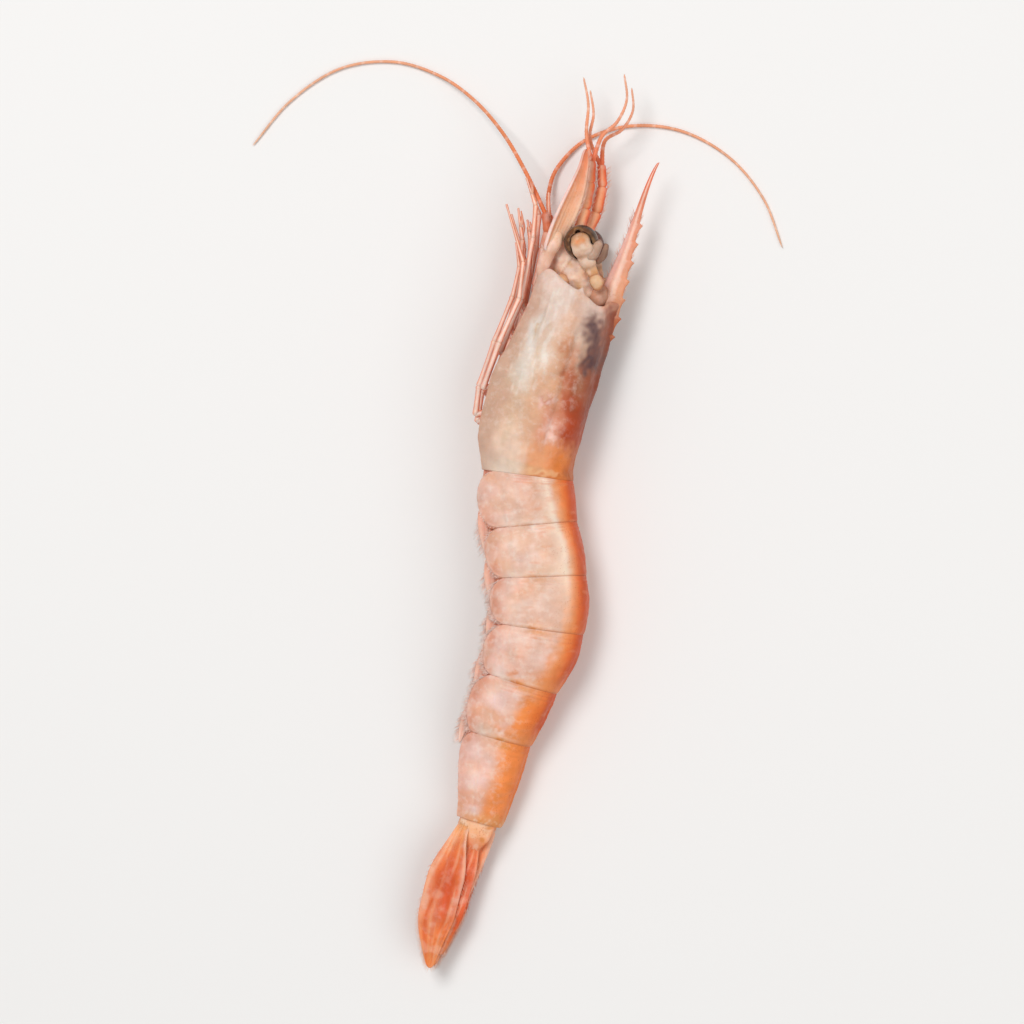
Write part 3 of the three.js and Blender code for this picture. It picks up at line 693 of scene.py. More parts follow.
def carapace_colour(s, d, turn, l):
    """Pearly streaks ahead, a dark patch under the back, red and orange towards the rear, and a
    reddish brown back, darkened further by painted shade where it turns from the light. The
    marks are placed as they look from a little towards the back."""
    flat = np.stack(np.broadcast_arrays(s, d, l), -1)
    cloud = ripple(flat, 2.4, 31)
    fine = ripple(flat, 0.8, 32)
    long = ripple(flat * [0.28, 1, 1], 1.1, 33)
    thread = ripple(flat * [0.22, 1, 1], 0.5, 34)
    gills = ripple(flat * [2.2, 1, 0.4], 0.9, 35)
    s, d = s + 0.5 * fine, d - 0.12 * l + 0.3 * cloud

    def mark(*line):
        return streak(s, d, *line)

    uneven = 0.7 + 0.3 * smooth(fine, -0.8, 0.8)
    knobs = 0.25 + 0.75 * smooth(fine + 0.5 * thread, 0.0, 1.1)
    rear = smooth(s, 15.5, 11)
    back = smooth(d + 0.3 * cloud, 3.7, 6.0)
    patch = streak(s + 0.3 * cloud, d - 0.2 * cloud + 0.2 * fine, *PATCH, 1.8, 2.2)
    inside = smooth(turn, 2.5, 2.75)
    return painted(
        s, ramp(s, *CARAPACE_TONES),
        ("#c69d87", 0.75 * smooth(d + 0.4 * cloud, -4.6, -7.8)),
        ("#cdb092", 0.4 * smooth(long, 0.1, 1.2) * mark((3, -5.0), (14, -5.5), 3.0)),
        ("#dba684", 0.75 * mark((6, -0.6), (15, -1.8), 1.7, 3)),
        ("#cf9064", 0.7 * mark((14.0, 1.4), (17.6, 0.4), 1.7)),
        ("#d9ab8d", 0.75 * mark((17.5, -0.4), (27.5, -0.8), 1.9, 3)),
        ("#c67848", 0.85 * mark((15.2, 3.6), (22.8, 0.9), 1.4, 2.5) * uneven),
        ("#c6886a", 0.75 * mark((17, 3.0), (21.5, 2.6), 1.3)),
        ("#aa5230", 0.85 * mark((14.4, 3.8), (17.8, 3.0), 1.5, 2.2) * uneven),
        ("#ddcec0", 0.5 * smooth(long, -0.9, 0.5) * mark((17, -5.2), (30, -4.2), 1.9, 3)),
        ("#e6dcd2", 0.45 * smooth(thread, 0.0, 0.8) * mark((15, -4.6), (30, -3.4), 2.6, 4)),
        ("#e8e0d6", 0.5 * mark((20.4, -2.6), (20.4, -2.6), 1.4)),
        ("#dccac0", 0.5 * mark((26.5, -2.8), (31, -0.6), 1.5)),
        ("#cfa38a", 0.55 * mark((25.5, 0.6), (31, 0.8), 1.2)),
        ("#ebe6e2", 0.4 * mark((20.5, -4.9), (24.5, -5.6), 0.8)),
        ("#e9e2da", 0.35 * mark((14.5, -4.6), (18.6, -4.9), 1.1)),
        ("#d3ab82", 0.6 * mark((19.5, -4.0), (24.5, -4.5), 0.35) * smooth(thread, -0.8, 0.4)),
        ("#cda088", 0.45 * mark((22, -7.0), (30, -6.2), 0.8)),
        ("#d08058", 0.85 * smooth(d, -1.2, 1.6) * rear),
        ("#c45a2a", 0.85 * smooth(d, 1.6, 4.2) * rear),
        ("#b84622", 0.85 * mark((9.0, 5.4), (13.6, 4.6), 1.8, 3)),
        ("#d8967c", 0.8 * mark((7, 2.0), (10.2, 1.8), 1.9, 3)),
        ("#b4482a", 0.6 * mark((13.4, 0.2), (13.4, 0.2), 1.1) * smooth(fine, -0.3, 0.5)),
        ("#eec6ba", 0.65 * knobs * mark((12.8, -0.4), (13.8, 0.9), 1.1, 2.4)),
        ("#efc9bc", 0.7 * knobs * mark((7.4, 2.4), (9.4, 2.2), 1.2, 2.4)),
        ("#e6a071", 0.9 * smooth(s, 8.4, 4.2) * smooth(d + 0.5 * fine, -2.8, 1.6)),
        ("#e67e32", 0.85 * smooth(s, 7.5, 3.5) * smooth(d, 2.2, 5.4)),
        # A pale line along the rear rim, painted as a highlight.
        ("#f0bd90", 0.5 * bump(s, 0.9, 0.6) * smooth(d, -4.0, 2.0) * smooth(d, 6.4, 5.0)),
        ("#cf6a33", 0.5 * bump(s, 0.1, 0.25) * smooth(d, -1.0, 1.5)),
        # The reddish brown back: its own colour, darkened further as painted shade where it turns
        # away from the light.
        ("#a05a38", 0.7 * mark((13.6, 5.6), (18.0, 5.3), 1.7)),
        ("#a14c2a", 0.85 * back * smooth(s, 12, 17) * smooth(s, 35, 32)),
        ("#ab431e", 0.75 * back * smooth(s, 17, 12) * smooth(s, 4, 9)),
        ("#a5451a", 0.6 * smooth(d, 5.8, 7.2) * smooth(s, 8, 5)),
        ("#86300f", 0.75 * smooth(d, 5.6, 7.2) * smooth(s, 7, 14) * smooth(s, 34, 31)),
        ("#986550", 0.8 * patch),
        ("#553f45", 0.85 * patch**1.7 * (0.75 + 0.25 * smooth(fine + 0.4 * thread, -0.9, 0.7))),
        ("#d99a80", 0.75 * inside),
        ("#edc0aa", 0.6 * inside * smooth(gills, 0.0, 0.9)),
        ("#bb664a", 0.4 * inside * smooth(-gills, 0.3, 1.2)),
        ("#df9c80", 0.5 * smooth(s, 29.5, 32.5) * smooth(d, 2.6, 5.4)),
        ("#e3b79b", 0.6 * bump(s, 31.6, 0.7) * smooth(cloud, -0.6, 0.8) * smooth(d, -4, -1)),
    )


def front_edge(turn):
    return 2.2 * bump(turn, 2.3, 0.5) - 1.4 * bump(turn, 0.8, 0.4) + 0.9 * bump(turn, 1.4, 0.07)


def grooves(s, turn):
    """How far the long groove, the slanting one and the one over the gills are sunk."""
    long = 0.4 * bump(turn, 1.15, 0.1) * smooth(s, 3, 8) * (1 - smooth(s, 24, 29))
    across = smooth(turn, 0.35, 0.7) * (1 - smooth(turn, 1.3, 1.7))
    slanting = 0.45 * bump(s, 24 - 5 * turn, 1.1) * across
    gill = 0.14 * bump(turn, 2.0 - 0.012 * s, 0.1) * smooth(s, 2, 9) * (1 - smooth(s, 22, 27))
    return long + slanting + gill


def carapace_skin():
    front = CARAPACE_LENGTH
    rear_fold = [(OVERLAP, LIP + 0.04), (0.15, LIP), (0.0, 0.2), (-0.04, 0.1), (0.03, 0.02)]
    body = [(s, 0.0) for s in np.linspace(0.2, front - 0.3, 150)]
    front_fold = [(front - 0.1, 0.02), (front, 0.1), (front, 0.24), (front - 0.2, 0.4)]
    front_fold += [(front - 1.2, 0.62), (front - 3, 1.1)]
    s, inset = (np.array(values)[:, None] for values in zip(*rear_fold, *body, *front_fold))
    angle = angles(320, (2.3, 0.4, 0.8), (0, 0.15, 0.8), (1.1, 0.6, 0.4))
    turn = np.abs(angle) + 0 * s
    swing = smooth(s, 20, front)
    swing[-1] = 0
    shift = front_edge(turn) * swing
    notch = LOBE_NOTCH * (1 - smooth(s, 0, 4)) + 0 * angle
    points, d, l = outline(s, angle, inset, notch, shift)
    outer = smooth(s, -0.1, 1.5)
    outer[:3] = 0
    outer[-3:] = 0
    lumps = sum(high * ripple(points, *how) for high, *how in CARAPACE_LUMPS)
    crest = 0.55 * bump(turn, 0, 0.1) * smooth(s, 9, 22)
    rim = 0.04 * bump(s, 0.6, 0.4) + 0.12 * bump(s, front - 0.5, 0.4)
    brow = 0.35 * bump(turn, 0.62, 0.12) * smooth(s, 25, 30)
    spines = 0.4 * bump(turn, 1.5, 0.08) * bump(s, 30.2, 1.3)
    spines = spines + 0.5 * bump(turn, 1.95, 0.07) * bump(s, 26, 2.4)
    relief = (lumps + rim + brow + spines - grooves(s, turn) * 1.15) * outer
    c = np.cos(turn)
    flecks = 0.3 * smooth(c, 0.95, 0.6) * smooth(s, 2, 8)
    flecks = flecks * (1 - 0.95 * streak(s, d - 0.12 * l, *PATCH, 2.6))
    dots = 0.12 + 0.5 * smooth(c, 0.4, 0.9) * smooth(s, 20, 12)
    lifted = outline(s, angle, inset - relief, notch, shift, crest * outer)[0]
    skin = Skin()
    skin.rings(lifted, carapace_colour(s + shift, d, turn, l), np.stack([flecks, dots], -1))
    return skin


ROSTRUM_ROOT = -0.5  # as all places on the rostrum, a share of its length from the carapace's front
FIRST_TOOTH = -0.3
TOOTH_PITCH = 0.13
ROSTRUM_TONES = (
    (-0.5, "#a5522f"), (-0.14, "#b5623f"), (0.06, "#e0a07c"), (0.3, "#eaa284"), (0.6, "#e89474"),
    (0.85, "#e37a5c"), (1, "#d96446"),
)


def rostrum_top(u):
    return 7.4 - 1.7 * u + np.maximum(u, 0) ** 6


def rostrum_half(u):
    return 0.45 * np.clip(1 - u, 0, 1) ** 0.3 + 1.5 * np.exp(-((np.maximum(u, 0) / 0.44) ** 1.4))


def tooth_height(u):
    """Saw teeth that rise slowly towards the tip and drop steeply ahead of their points."""
    place = (u - FIRST_TOOTH) / TOOTH_PITCH
    share = place - np.floor(place)
    saw = np.where(share < 0.56, (share / 0.56) ** 1.8, smooth(share, 0.68, 0.56))
    return 0.62 * saw * (place > 0) * (place < ROSTRUM_TEETH)


def add_rostrum(skin):
    """The saw-toothed blade, with a ridge along each side and hair along both edges."""
    u = np.linspace(ROSTRUM_ROOT, 1, 330)[:, None]
    s = CARAPACE_LENGTH + u * ROSTRUM_LENGTH
    back = reaches(s)[..., 0]
    rise = smooth(u, ROSTRUM_ROOT, 0)
    crest = np.where(u < 0, back + rise, rostrum_top(u))
    top = crest + tooth_height(u)
    under = np.where(u > 0, rostrum_top(u) - 2 * rostrum_half(u), back - 3.2 * rise**0.5 - 0.3)
    under = blend(back - 0.4, under, smooth(u, ROSTRUM_ROOT, -0.05))
    under = np.minimum(under, top - 0.12)
    half = blend(1.0, 0.2, smooth(u, -0.3, 0.9)) * smooth(u, 1.012, 0.9) ** 0.5
    v = circle(28)
    c, edge = np.cos(v), np.abs(np.sin(v))
    middle = (crest + under) / 2
    d = middle + np.where(c > 0, top - middle, middle - under) * c
    ridge = 1 + 0.55 * bump(edge, 1, 0.12)
    l = half * signed(np.sin(v), np.where(c > 0, 1.35, 1.0)) * ridge / 1.3
    ahead = smooth(u, -0.1, 0.1)
    colours = painted(
        d, ramp(u, *ROSTRUM_TONES),
        # A painted highlight along each side ridge.
        ("#f7d5c4", 0.75 * ahead * smooth(edge, 0.93, 1.0)),
        ("#dd8355", 0.5 * ahead * smooth(c, 0.7, 0.98)),
        ("#efc4bb", 0.75 * ahead * smooth(-c, 0.15, 0.6) * smooth(u, 0.75, 0.4)),
    )
    skin.rings(body_point(s, d, l), colours, (0.15, 0.4))
    count = 150
    rng = np.random.default_rng(7)
    place = rng.uniform(0.0, 0.62, count)
    s = CARAPACE_LENGTH + place * ROSTRUM_LENGTH
    top = rostrum_top(place)
    upper = rng.random(count) < 0.4
    under = top - 2 * rostrum_half(place) + 0.05
    d = np.where(upper, top + tooth_height(place) * 0.6, under)
    roots = body_point(s, d, rng.normal(0, 0.06, count))
    out = np.where(upper, 0.45, -0.75) * rng.uniform(0.5, 1.1, count)
    tips = body_point(s + rng.uniform(0.5, 1.3, count), d + out, rng.normal(0, 0.2, count))
    skin.hairs(roots, tips, 0.035, ("#e7a087", "#f4cdbb"))


# ---- Head ----

HEAD_ROWS = [  # s, and the block's upper and lower edge and half width there
    (30.2, (2.6, -3.0, 2.5)),
    (32.2, (2.6, -3.6, 3.3)),
    (33.6, (2.6, -5.4, 3.9)),
    (35.6, (2.4, -6.3, 3.9)),
    (38.4, (0.5, -6.1, 3.0)),
    (40.4, (-1.5, -5.2, 1.9)),
]


def head_skin():
    """The block between the eyes, with the knobs of the eye socket and the flesh behind them."""
    s = np.linspace(HEAD_ROWS[0][0], HEAD_ROWS[-1][0], 90)[:, None]
    angle = circle(96)
    upper, lower, half = np.moveaxis(reader(HEAD_ROWS)(s), -1, 0)
    taper = rounded((s - 35.3) / 5.15, 8, 0.02)
    d = (upper + lower) / 2 + (upper - lower) / 2 * np.cos(angle) * taper
    l = half * np.sin(angle) * taper
    points = body_point(s, d, l)
    bulge = 0.16 * ripple(points, 1.5, 51) + 0.06 * ripple(points, 0.6, 52)
    fold = 0.25 * bump(d, -3.2 + 0.3 * (s - 34), 0.22) * smooth(s, 31, 33)
    d = d + bulge * np.cos(angle)
    l = l + (bulge - fold) * np.sin(angle)
    colours = painted(
        d, "#e6c2ac",
        ("#f2dccf", 0.7 * smooth(ripple(points, 1.6, 53), 0, 1)),
        ("#cf8a5c", 0.5 * smooth(ripple(points, 1.1, 54), 0.5, 1.3)),
        ("#dfa55e", 0.6 * smooth(ripple(points, 1.5, 56), 0.1, 1.0)),
        ("#b98a78", 0.4 * smooth(ripple(points, 1.2, 57), 0.4, 1.2)),
        # Painted shade in the fold.
        ("#c98a63", 0.6 * smooth(fold, 0.08, 0.25)),
        ("#e09a6c", 0.7 * smooth(s, 37, 40)),
    )
    skin = Skin()
    skin.rings(body_point(s, d, l), colours, (0.3, 0.4))
    for side in (1, -1):
        add_lump(skin, (32.9, -2.9, side * 3.7), (1.25, 1.15, 1.3), 1.2, ("#e2ab84", "#c98458"), 55)
    add_lump(skin, (31.8, 3.5, 0), (2.5, 1.7, 2.4), 0.2, ("#cf9a80", "#bd8064"), 58)
    return skin


def add_lump(skin, at, size, way, codes, seed, marks=(0.2, 0.3)):
    """An uneven egg of flesh: size is its half length along way and its two half widths, codes
    its colour and the colour round its edge."""
    at = np.array(at, float)
    angle = circle(36)
    tilt = np.linspace(0.02, math.pi - 0.02, 26)[:, None]
    x = size[0] * np.cos(tilt) + 0 * angle
    y = size[1] * np.sin(tilt) * np.cos(angle)
    z = np.sin(tilt) * np.sin(angle)
    cos, sin = math.cos(way), math.sin(way)
    egg = np.stack([x * cos - y * sin, x * sin + y * cos, size[2] * z], -1)
    swell = 1 + 0.07 * ripple(body_point(*np.moveaxis(at + egg, -1, 0)), 0.9, seed)
    egg = at + egg * swell[..., None]
    colours = painted(z, codes[0], (codes[1], smooth(np.abs(z), 0.75, 0.2) * 0.8))
    skin.rings(body_point(*np.moveaxis(egg, -1, 0)), colours, marks)


EYE = {"s": 39.9, "d": -1.5, "l": 4.5, "radius": 2.9, "depth": 2.1}
EYESTALK = [(34.4, 2.7, 3.6), (36.3, 1.2, 4.5), (38.6, -0.6, 5.4), (41.2, -2.3, 5.7)]
STALK_FLATNESS = 0.62
STALK_TONES = (
    (0, "#b56b3f"), (0.2, "#d99f6c"), (0.42, "#e8c2aa"), (0.56, "#d6ab91"), (0.7, "#dfbda3"),
    (0.88, "#d3a27a"), (1, "#b07a54"),
)


def stalk_half(t):
    half = blend(0.8, 1.72, smooth(t, 0, 0.7)) * (1 - 0.26 * smooth(t, 0.8, 1))
    return half * rounded(np.abs(t - 0.5) / 0.503, 14, 0.01)


def eye_skins(side):
    """The dark cornea, bent round the pale lobe that its stalk ends in, and the stalk."""
    route = curve(EYESTALK, 60)
    tilt = np.linspace(0.01, math.pi - 0.01, 110)[:, None]
    angle = circle(150)
    x = np.sin(tilt) * np.cos(angle)
    y = np.sin(tilt) * np.sin(angle)
    z = np.cos(tilt) + 0 * angle
    s = EYE["s"] + EYE["radius"] * x
    d = EYE["d"] + EYE["radius"] * y
    l = EYE["l"] + EYE["depth"] * z
    away = np.hypot(s[..., None] - route[:, 0], d[..., None] - route[:, 1])
    nearest = away.argmin(-1)
    half = stalk_half(nearest / (len(route) - 1))
    gap = away.min(-1) - half
    sunk = np.minimum(l, route[nearest, 2] - STALK_FLATNESS * half - 0.3)
    l = np.where(z > 0, blend(l, sunk, smooth(gap, 0.2, -0.15)), l)
    out = np.hypot(x, y)
    place = np.stack([s, d, l], -1)
    brown = smooth(out, 0.95, 0.8) * (0.6 + 0.4 * smooth(ripple(place, 1.1, 64), -1.0, 0.2))
    uneven = 0.45 + 0.55 * smooth(ripple(place, 1.3, 67), -0.7, 0.5)
    colours = painted(
        s, "#241f1a",
        ("#744628", 0.85 * np.maximum(brown, smooth(gap, 1.4, 0.3)) * uneven),
        # A gold line round the lobe, painted as a highlight.
        ("#b08050", 0.5 * bump(gap, 0.45, 0.2) * smooth(ripple(place, 0.8, 66), -0.3, 0.7)),
        # Painted shade where the cornea dips under the lobe.
        ("#2e1f17", 0.8 * smooth(gap, 0.16, 0.0)),
        ("#6f5b4b", 0.75 * smooth(out, 0.84, 0.95) * smooth(x, 1.0, 0.55)),
        ("#6b3a2c", 0.8 * smooth(z, 0.3, 0.05)),
    )
    eye = Skin()
    eye.rings(body_point(s, d, side * l), colours)

    path = curve(body_point(route[:, 0], route[:, 1], side * route[:, 2]), 90)
    width = stalk_half(np.linspace(0, 1, 90))
    rings, t, around = rod_rings(path, width, STALK_FLATNESS * width, 48)
    c = np.cos(around)
    swell = 0.06 * ripple(rings, 0.7, 61) + 0.2 * bump(t, 0.8, 0.14) * np.maximum(c, 0)
    swell = swell - 0.14 * bump(t, 0.56, 0.05) - 0.1 * bump(t, 0.3, 0.05)
    rings = rod_rings(path, width, STALK_FLATNESS * width, 48, relief=swell)[0]
    colours = painted(
        t, ramp(t, *STALK_TONES),
        # Painted shade on the stalk's underside.
        ("#8d5a44", 0.7 * smooth(c, 0.25, -0.3) * smooth(t, 0.2, 0.6)),
        ("#f2dccd", 0.4 * smooth(ripple(rings, 0.8, 62), 0.3, 1.1)),
        ("#dd8a4e", 0.8 * bump(t, 0.84, 0.06) * smooth(c, 0.75, 0.97)),
        ("#a67f63", 0.6 * bump(t, 0.56, 0.035) + 0.5 * bump(t, 0.3, 0.035)),
    )
    stalk = Skin()
    stalk.rings(rings, colours, (0.2, 0.3))
    for at, size, way, codes, seed in (
        ((34.3, 2.9, side * 4.4), (1.35, 1.15, 0.95), 2.4, ("#dfb48c", "#c0703f"), 63),
        ((39.0, 1.1, side * 4.9), (2.3, 1.0, 1.15), 0.2, ("#b99680", "#8a6450"), 65),
    ):
        add_lump(stalk, at, size, way, codes, seed)
    return eye, stalk


# ---- Feelers ----

WHIPS = {  # s, d and height, from the head to the tip
    "left": [
        (42.8, -8.9, 10), (48.4, -14.1, 9), (53.8, -20.2, 6.6), (58, -27.2, 3), (60.4, -34.6, 1),
        (60.4, -43, 0.5), (56.6, -51.5, 0.45), (49, -58, 0.4), (40, -62, 0.35),
    ],
    "right": [
        (42.8, -8.9, 4.4), (46.4, -10.4, 2.5), (51.2, -10.4, 1.1), (57, -7.2, 0.6),
        (61.4, -0.6, 0.5), (63, 8, 0.5), (61, 17, 0.45), (56, 24.5, 0.4), (49, 30, 0.35),
    ],
}
ANTENNA_BASE = [(37.6, -7.1, 2.7), (40, -7.6, 2.7), (42.9, -9, 2.7)]
ANTENNULE_STEMS = {
    "left": [(40.6, -2.6, 1.35), (45.6, -2.9, 1.4), (50, -3.3, 1.35), (53.4, -4.1, 1.3)],
    "right": [(40.6, -1.9, 1.35), (45.6, -1.2, 1.4), (50, -1.5, 1.35), (53.4, -2.7, 1.3)],
}
ANTENNULE_WHIPS = [
    [(57.8, -3.8, 1.1), (61, -2, 1), (65, -1.6, 0.7), (69, -3.3, 0.3)],
    [(57.6, -6.4, 0.9), (62.4, -7.6, 0.4), (66.6, -9.8, -0.4)],
]
STEM_ROOT = 39.2  # in the head, where the stems can't be seen
RIGHT_SPREAD = (-1.8, 1.8, 0)  # how far the right whips' tips are from the left ones'
WHIP_RING = 0.26
SCALE_ROUTE = [
    (36.6, -6.1, 4.6), (40.2, -5.7, 5), (44, -5.2, 5.1), (48, -4.8, 5.1), (52, -4.8, 4.7),
    (55, -5.3, 4.1),
]
SCALE_ROOT = [(32.4, -6.8, 3.4), (34.6, -6.5, 4.2), (37.2, -6.1, 4.7), (40.6, -5.6, 4.9)]
BASE_TONES = (0, "#e3a98f"), (0.5, "#d9805c"), (1, "#d26a45")
WHIP_TONES = (0, "#e0703f"), (0.25, "#e78a5c"), (0.6, "#eba580"), (1, "#e8b494")
STEM_TONES = (0, "#f4b890"), (0.3, "#f4a070"), (0.7, "#f0814c"), (1, "#e66236")
SMALL_WHIP_TONES = (0, "#e0653c"), (0.3, "#ea9068"), (1, "#eaac8e")


def add_articles(
    skin, joints, half, flat, tones, ring_code, sides, marks=(0.15, 0.25), stripe=None
):
    """A chain of slightly waisted pieces between joints, each swollen where it meets the next.
    half holds the half thickness at each joint, stripe the colours of the side stripes
    and of the painted highlight along the top."""
    for i in range(len(joints) - 1):
        a, b = joints[i], joints[i + 1]
        length = np.linalg.norm(b - a)
        share = np.linspace(0, 1, max(18, int(length / 0.3)))
        share = blend(share, (1 - np.cos(math.pi * share)) / 2, 0.8)
        reach = min(0.22, 0.5 * half[i + 1]) / length
        path = a + (b - a) * (share * (1 + 1.6 * reach) - 0.8 * reach)[:, None]
        base = blend(half[i], half[i + 1], share)
        swollen = 0.16 * bump(share, 0.965, 0.05) + 0.1 * bump(share, 0.03, 0.05)
        inwards = np.minimum(share, 1 - share) * length / base
        width = base * (1 - 0.16 * np.sin(math.pi * share) + swollen)
        width *= rounded(1 - np.clip(inwards, 0, 1), 2.4, 0.03)
        rings, t, around = rod_rings(path, width, width * flat, sides, (0.05, 0.02, 1))
        layers = []
        if stripe:
            beside = bump(np.abs(np.sin(around)), 0.9, 0.28) * smooth(t + i, 0.1, 0.5)
            # The top is paler: a painted highlight.
            painted_top_highlight = bump(np.sin(around), 0, 0.35) * (np.cos(around) > 0)
            layers = [(stripe[0], 0.85 * beside), (stripe[1], 0.6 * painted_top_highlight)]
        light = 0.175 if stripe else 0.35
        layers += [
            ("#f8dfd2", light * smooth(ripple(rings, 1.4, 71 + i), 0.2, 1.2)),
            (ring_code, 0.6 * (bump(t, 1, 0.06) + bump(t, 0, 0.04))),
        ]
        skin.rings(rings, painted(t, ramp((i + t) / (len(joints) - 1), *tones), *layers), marks)


def add_whip(skin, points, thick, thin, tones):
    """A feeler's whip of many short rings."""
    length = np.linalg.norm(np.diff(points, axis=0), axis=1).sum()
    count = int(length / WHIP_RING) // 2 * 2 + 1
    share = np.linspace(0, 1, count)
    half = blend(thick, thin, share**0.8) * np.where(np.arange(count) % 2, 0.9, 1.06)
    half *= rounded(share, 60, 0.05)
    rings, t, _ = rod_rings(curve(points, count), half, half, 10)
    rings[..., 2] = np.maximum(rings[..., 2], 0.02)
    banded = (np.arange(count) // 2 % 6 == 0)[:, None]
    skin.rings(rings, painted(t, ramp(t, *tones), ("#fbe6da", 0.25 * banded)), (0.1, 0.2))


def antenna_skin(side, name):
    skin = Skin()
    base = placed(ANTENNA_BASE, side)
    add_articles(skin, base, [0.95, 0.9, 0.72], 0.95, BASE_TONES, "#b9532f", 20)
    whip = [blend(base[-2], base[-1], 0.9), *(ground_point(*point) for point in WHIPS[name])]
    add_whip(skin, whip, 0.4, 0.18, WHIP_TONES)
    return skin


def antennule_skin(side, name):
    skin = Skin()
    joints = ANTENNULE_STEMS[name]
    stem = placed(joints, side)
    stem[0] = body_point(STEM_ROOT, joints[0][1] - 0.3, side * joints[0][2])
    # Red side stripes, and a painted highlight along the top of the stems.
    add_articles(skin, stem, [1.15, 1.1, 0.95, 0.78], 0.84, STEM_TONES, "#c05430", 28,
                 (0.1, 0.4), ("#e6592c", "#f9c49c"))
    for route in ANTENNULE_WHIPS:
        share = np.arange(1, len(route) + 1)[:, None] / len(route)
        stray = share * RIGHT_SPREAD * (side < 0)
        whip = [blend(stem[-2], stem[-1], 0.85), *placed(route + stray, side)]
        add_whip(skin, whip, 0.44, 0.17, SMALL_WHIP_TONES)
    rng = np.random.default_rng(81 if side > 0 else 82)
    count = 110
    s = rng.uniform(41, 53, count)
    edge = np.where(rng.random(count) < 0.5, 1, -1)
    d = np.interp(s, [joint[0] for joint in joints], [joint[1] for joint in joints]) + edge * 0.8
    roots = body_point(s, d, side * (1.35 + rng.normal(0, 0.2, count)))
    d = d + edge * rng.uniform(0.4, 0.8, count)
    s = s + rng.uniform(0.7, 1.5, count)
    tips = body_point(s, d, side * (1.35 + rng.normal(0, 0.4, count)))
    skin.hairs(roots, tips, 0.035, ("#e89672", "#f3c4ad"), 0.03)
    return skin


def scale_skin(side):
    """A long blade with a stout pale rib along its lower edge, a thin ribbed leaf and a fringe
    along its inner edge. It grows out of a swollen root beside the carapace's lower corner."""
    rows, sides = 130, 56
    path = curve(placed(SCALE_ROUTE, side), rows)
    t = np.linspace(0, 1, rows)
    width = 2 * (0.7 + 0.3 * np.sin(math.pi * np.minimum(t * 1.25, 1))) * (1 - 0.75 * t**5)
    width *= rounded(ends(t), 26, 0.02)
    up = body_way(0, 1, 1.1 * side)
    along, _, normal = directions(path, up)
    rings, share, angle = rod_rings(path, width, np.ones(rows), sides, up)
    out = -np.sin(angle) * side
    rib = 0.42 * bump(out, 0.96, 0.24) + 0.1 * bump(out, 0.3, 0.08)
    thick = 0.17 + rib * (1 - 0.4 * share) + 0.025 * np.cos(out * 22)
    height = np.einsum("ijk,ik->ij", rings - path[:, None], normal)
    curl = 0.35 * (out**2 - 0.5) * np.sin(math.pi * share)
    raised = signed(height, 0.5) * thick - height + curl
    rings = rings + normal[:, None] * raised[..., None]
    tones = (0, "#f5cbae"), (0.35, "#f6bd98"), (0.7, "#f4a47c"), (1, "#ea7f58")
    colours = painted(
        share, ramp(share, *tones),
        ("#e98a56", 0.7 * bump(out, 0.62, 0.12)),
        ("#ee9a68", 0.5 * bump(out, -0.1, 0.1) * smooth(share, 0.05, 0.3)),
        # The rib's pale colour: partly its own, partly painted highlight.
        ("#f7d3cb", 0.9 * smooth(out, 0.72, 0.9)),
        ("#e79a7e", 0.6 * smooth(share, 0.6, 0.95) * smooth(out, 0.7, 0.9)),
        ("#e39a70", 0.4 * bump(out, 0.22, 0.07)),
        ("#f0cdb4", 0.5 * smooth(-out, 0.5, 0.95)),
    )
    skin = Skin()
    skin.rings(rings, colours, (0.2, 0.4))
    rng = np.random.default_rng(83)
    count = 220
    inner = sides // 4 if side > 0 else 3 * sides // 4
    skin.fringe(rings, path, along, rng.integers(30, 128, count), inner, (0.5, 0.9),
                rng.uniform(0.7, 1.3, (count, 1)), 0.045, ("#efbfa2", "#f8ddcf"))
    rows = 60
    root = curve(placed(SCALE_ROOT, side), rows)
    t = np.linspace(0, 1, rows)
    half = blend(0.75, 1.25, smooth(t, 0, 0.55)) * rounded(ends(t), 6, 0.03)
    low = half * blend(0.9, 0.45, smooth(t, 0.45, 1))
    rings, t, _ = rod_rings(root, half, low, 32)
    swell = 0.08 * ripple(rings, 1.2, 84) - 0.06 * bump(t, 0.55, 0.06)
    rings = rod_rings(root, half, low, 32, relief=swell)[0]
    colours = painted(
        t, ramp(t, (0, "#e8b9a2"), (0.5, "#e8b89e"), (1, "#ecbf9f")),
        ("#f2cdbf", 0.5 * smooth(ripple(rings, 1.4, 85), -0.2, 0.8)),
        ("#d8926a", 0.35 * bump(t, 0.55, 0.05)),
    )
    skin.rings(rings, colours, (0.2, 0.3))
    return skin


# ---- Legs ----

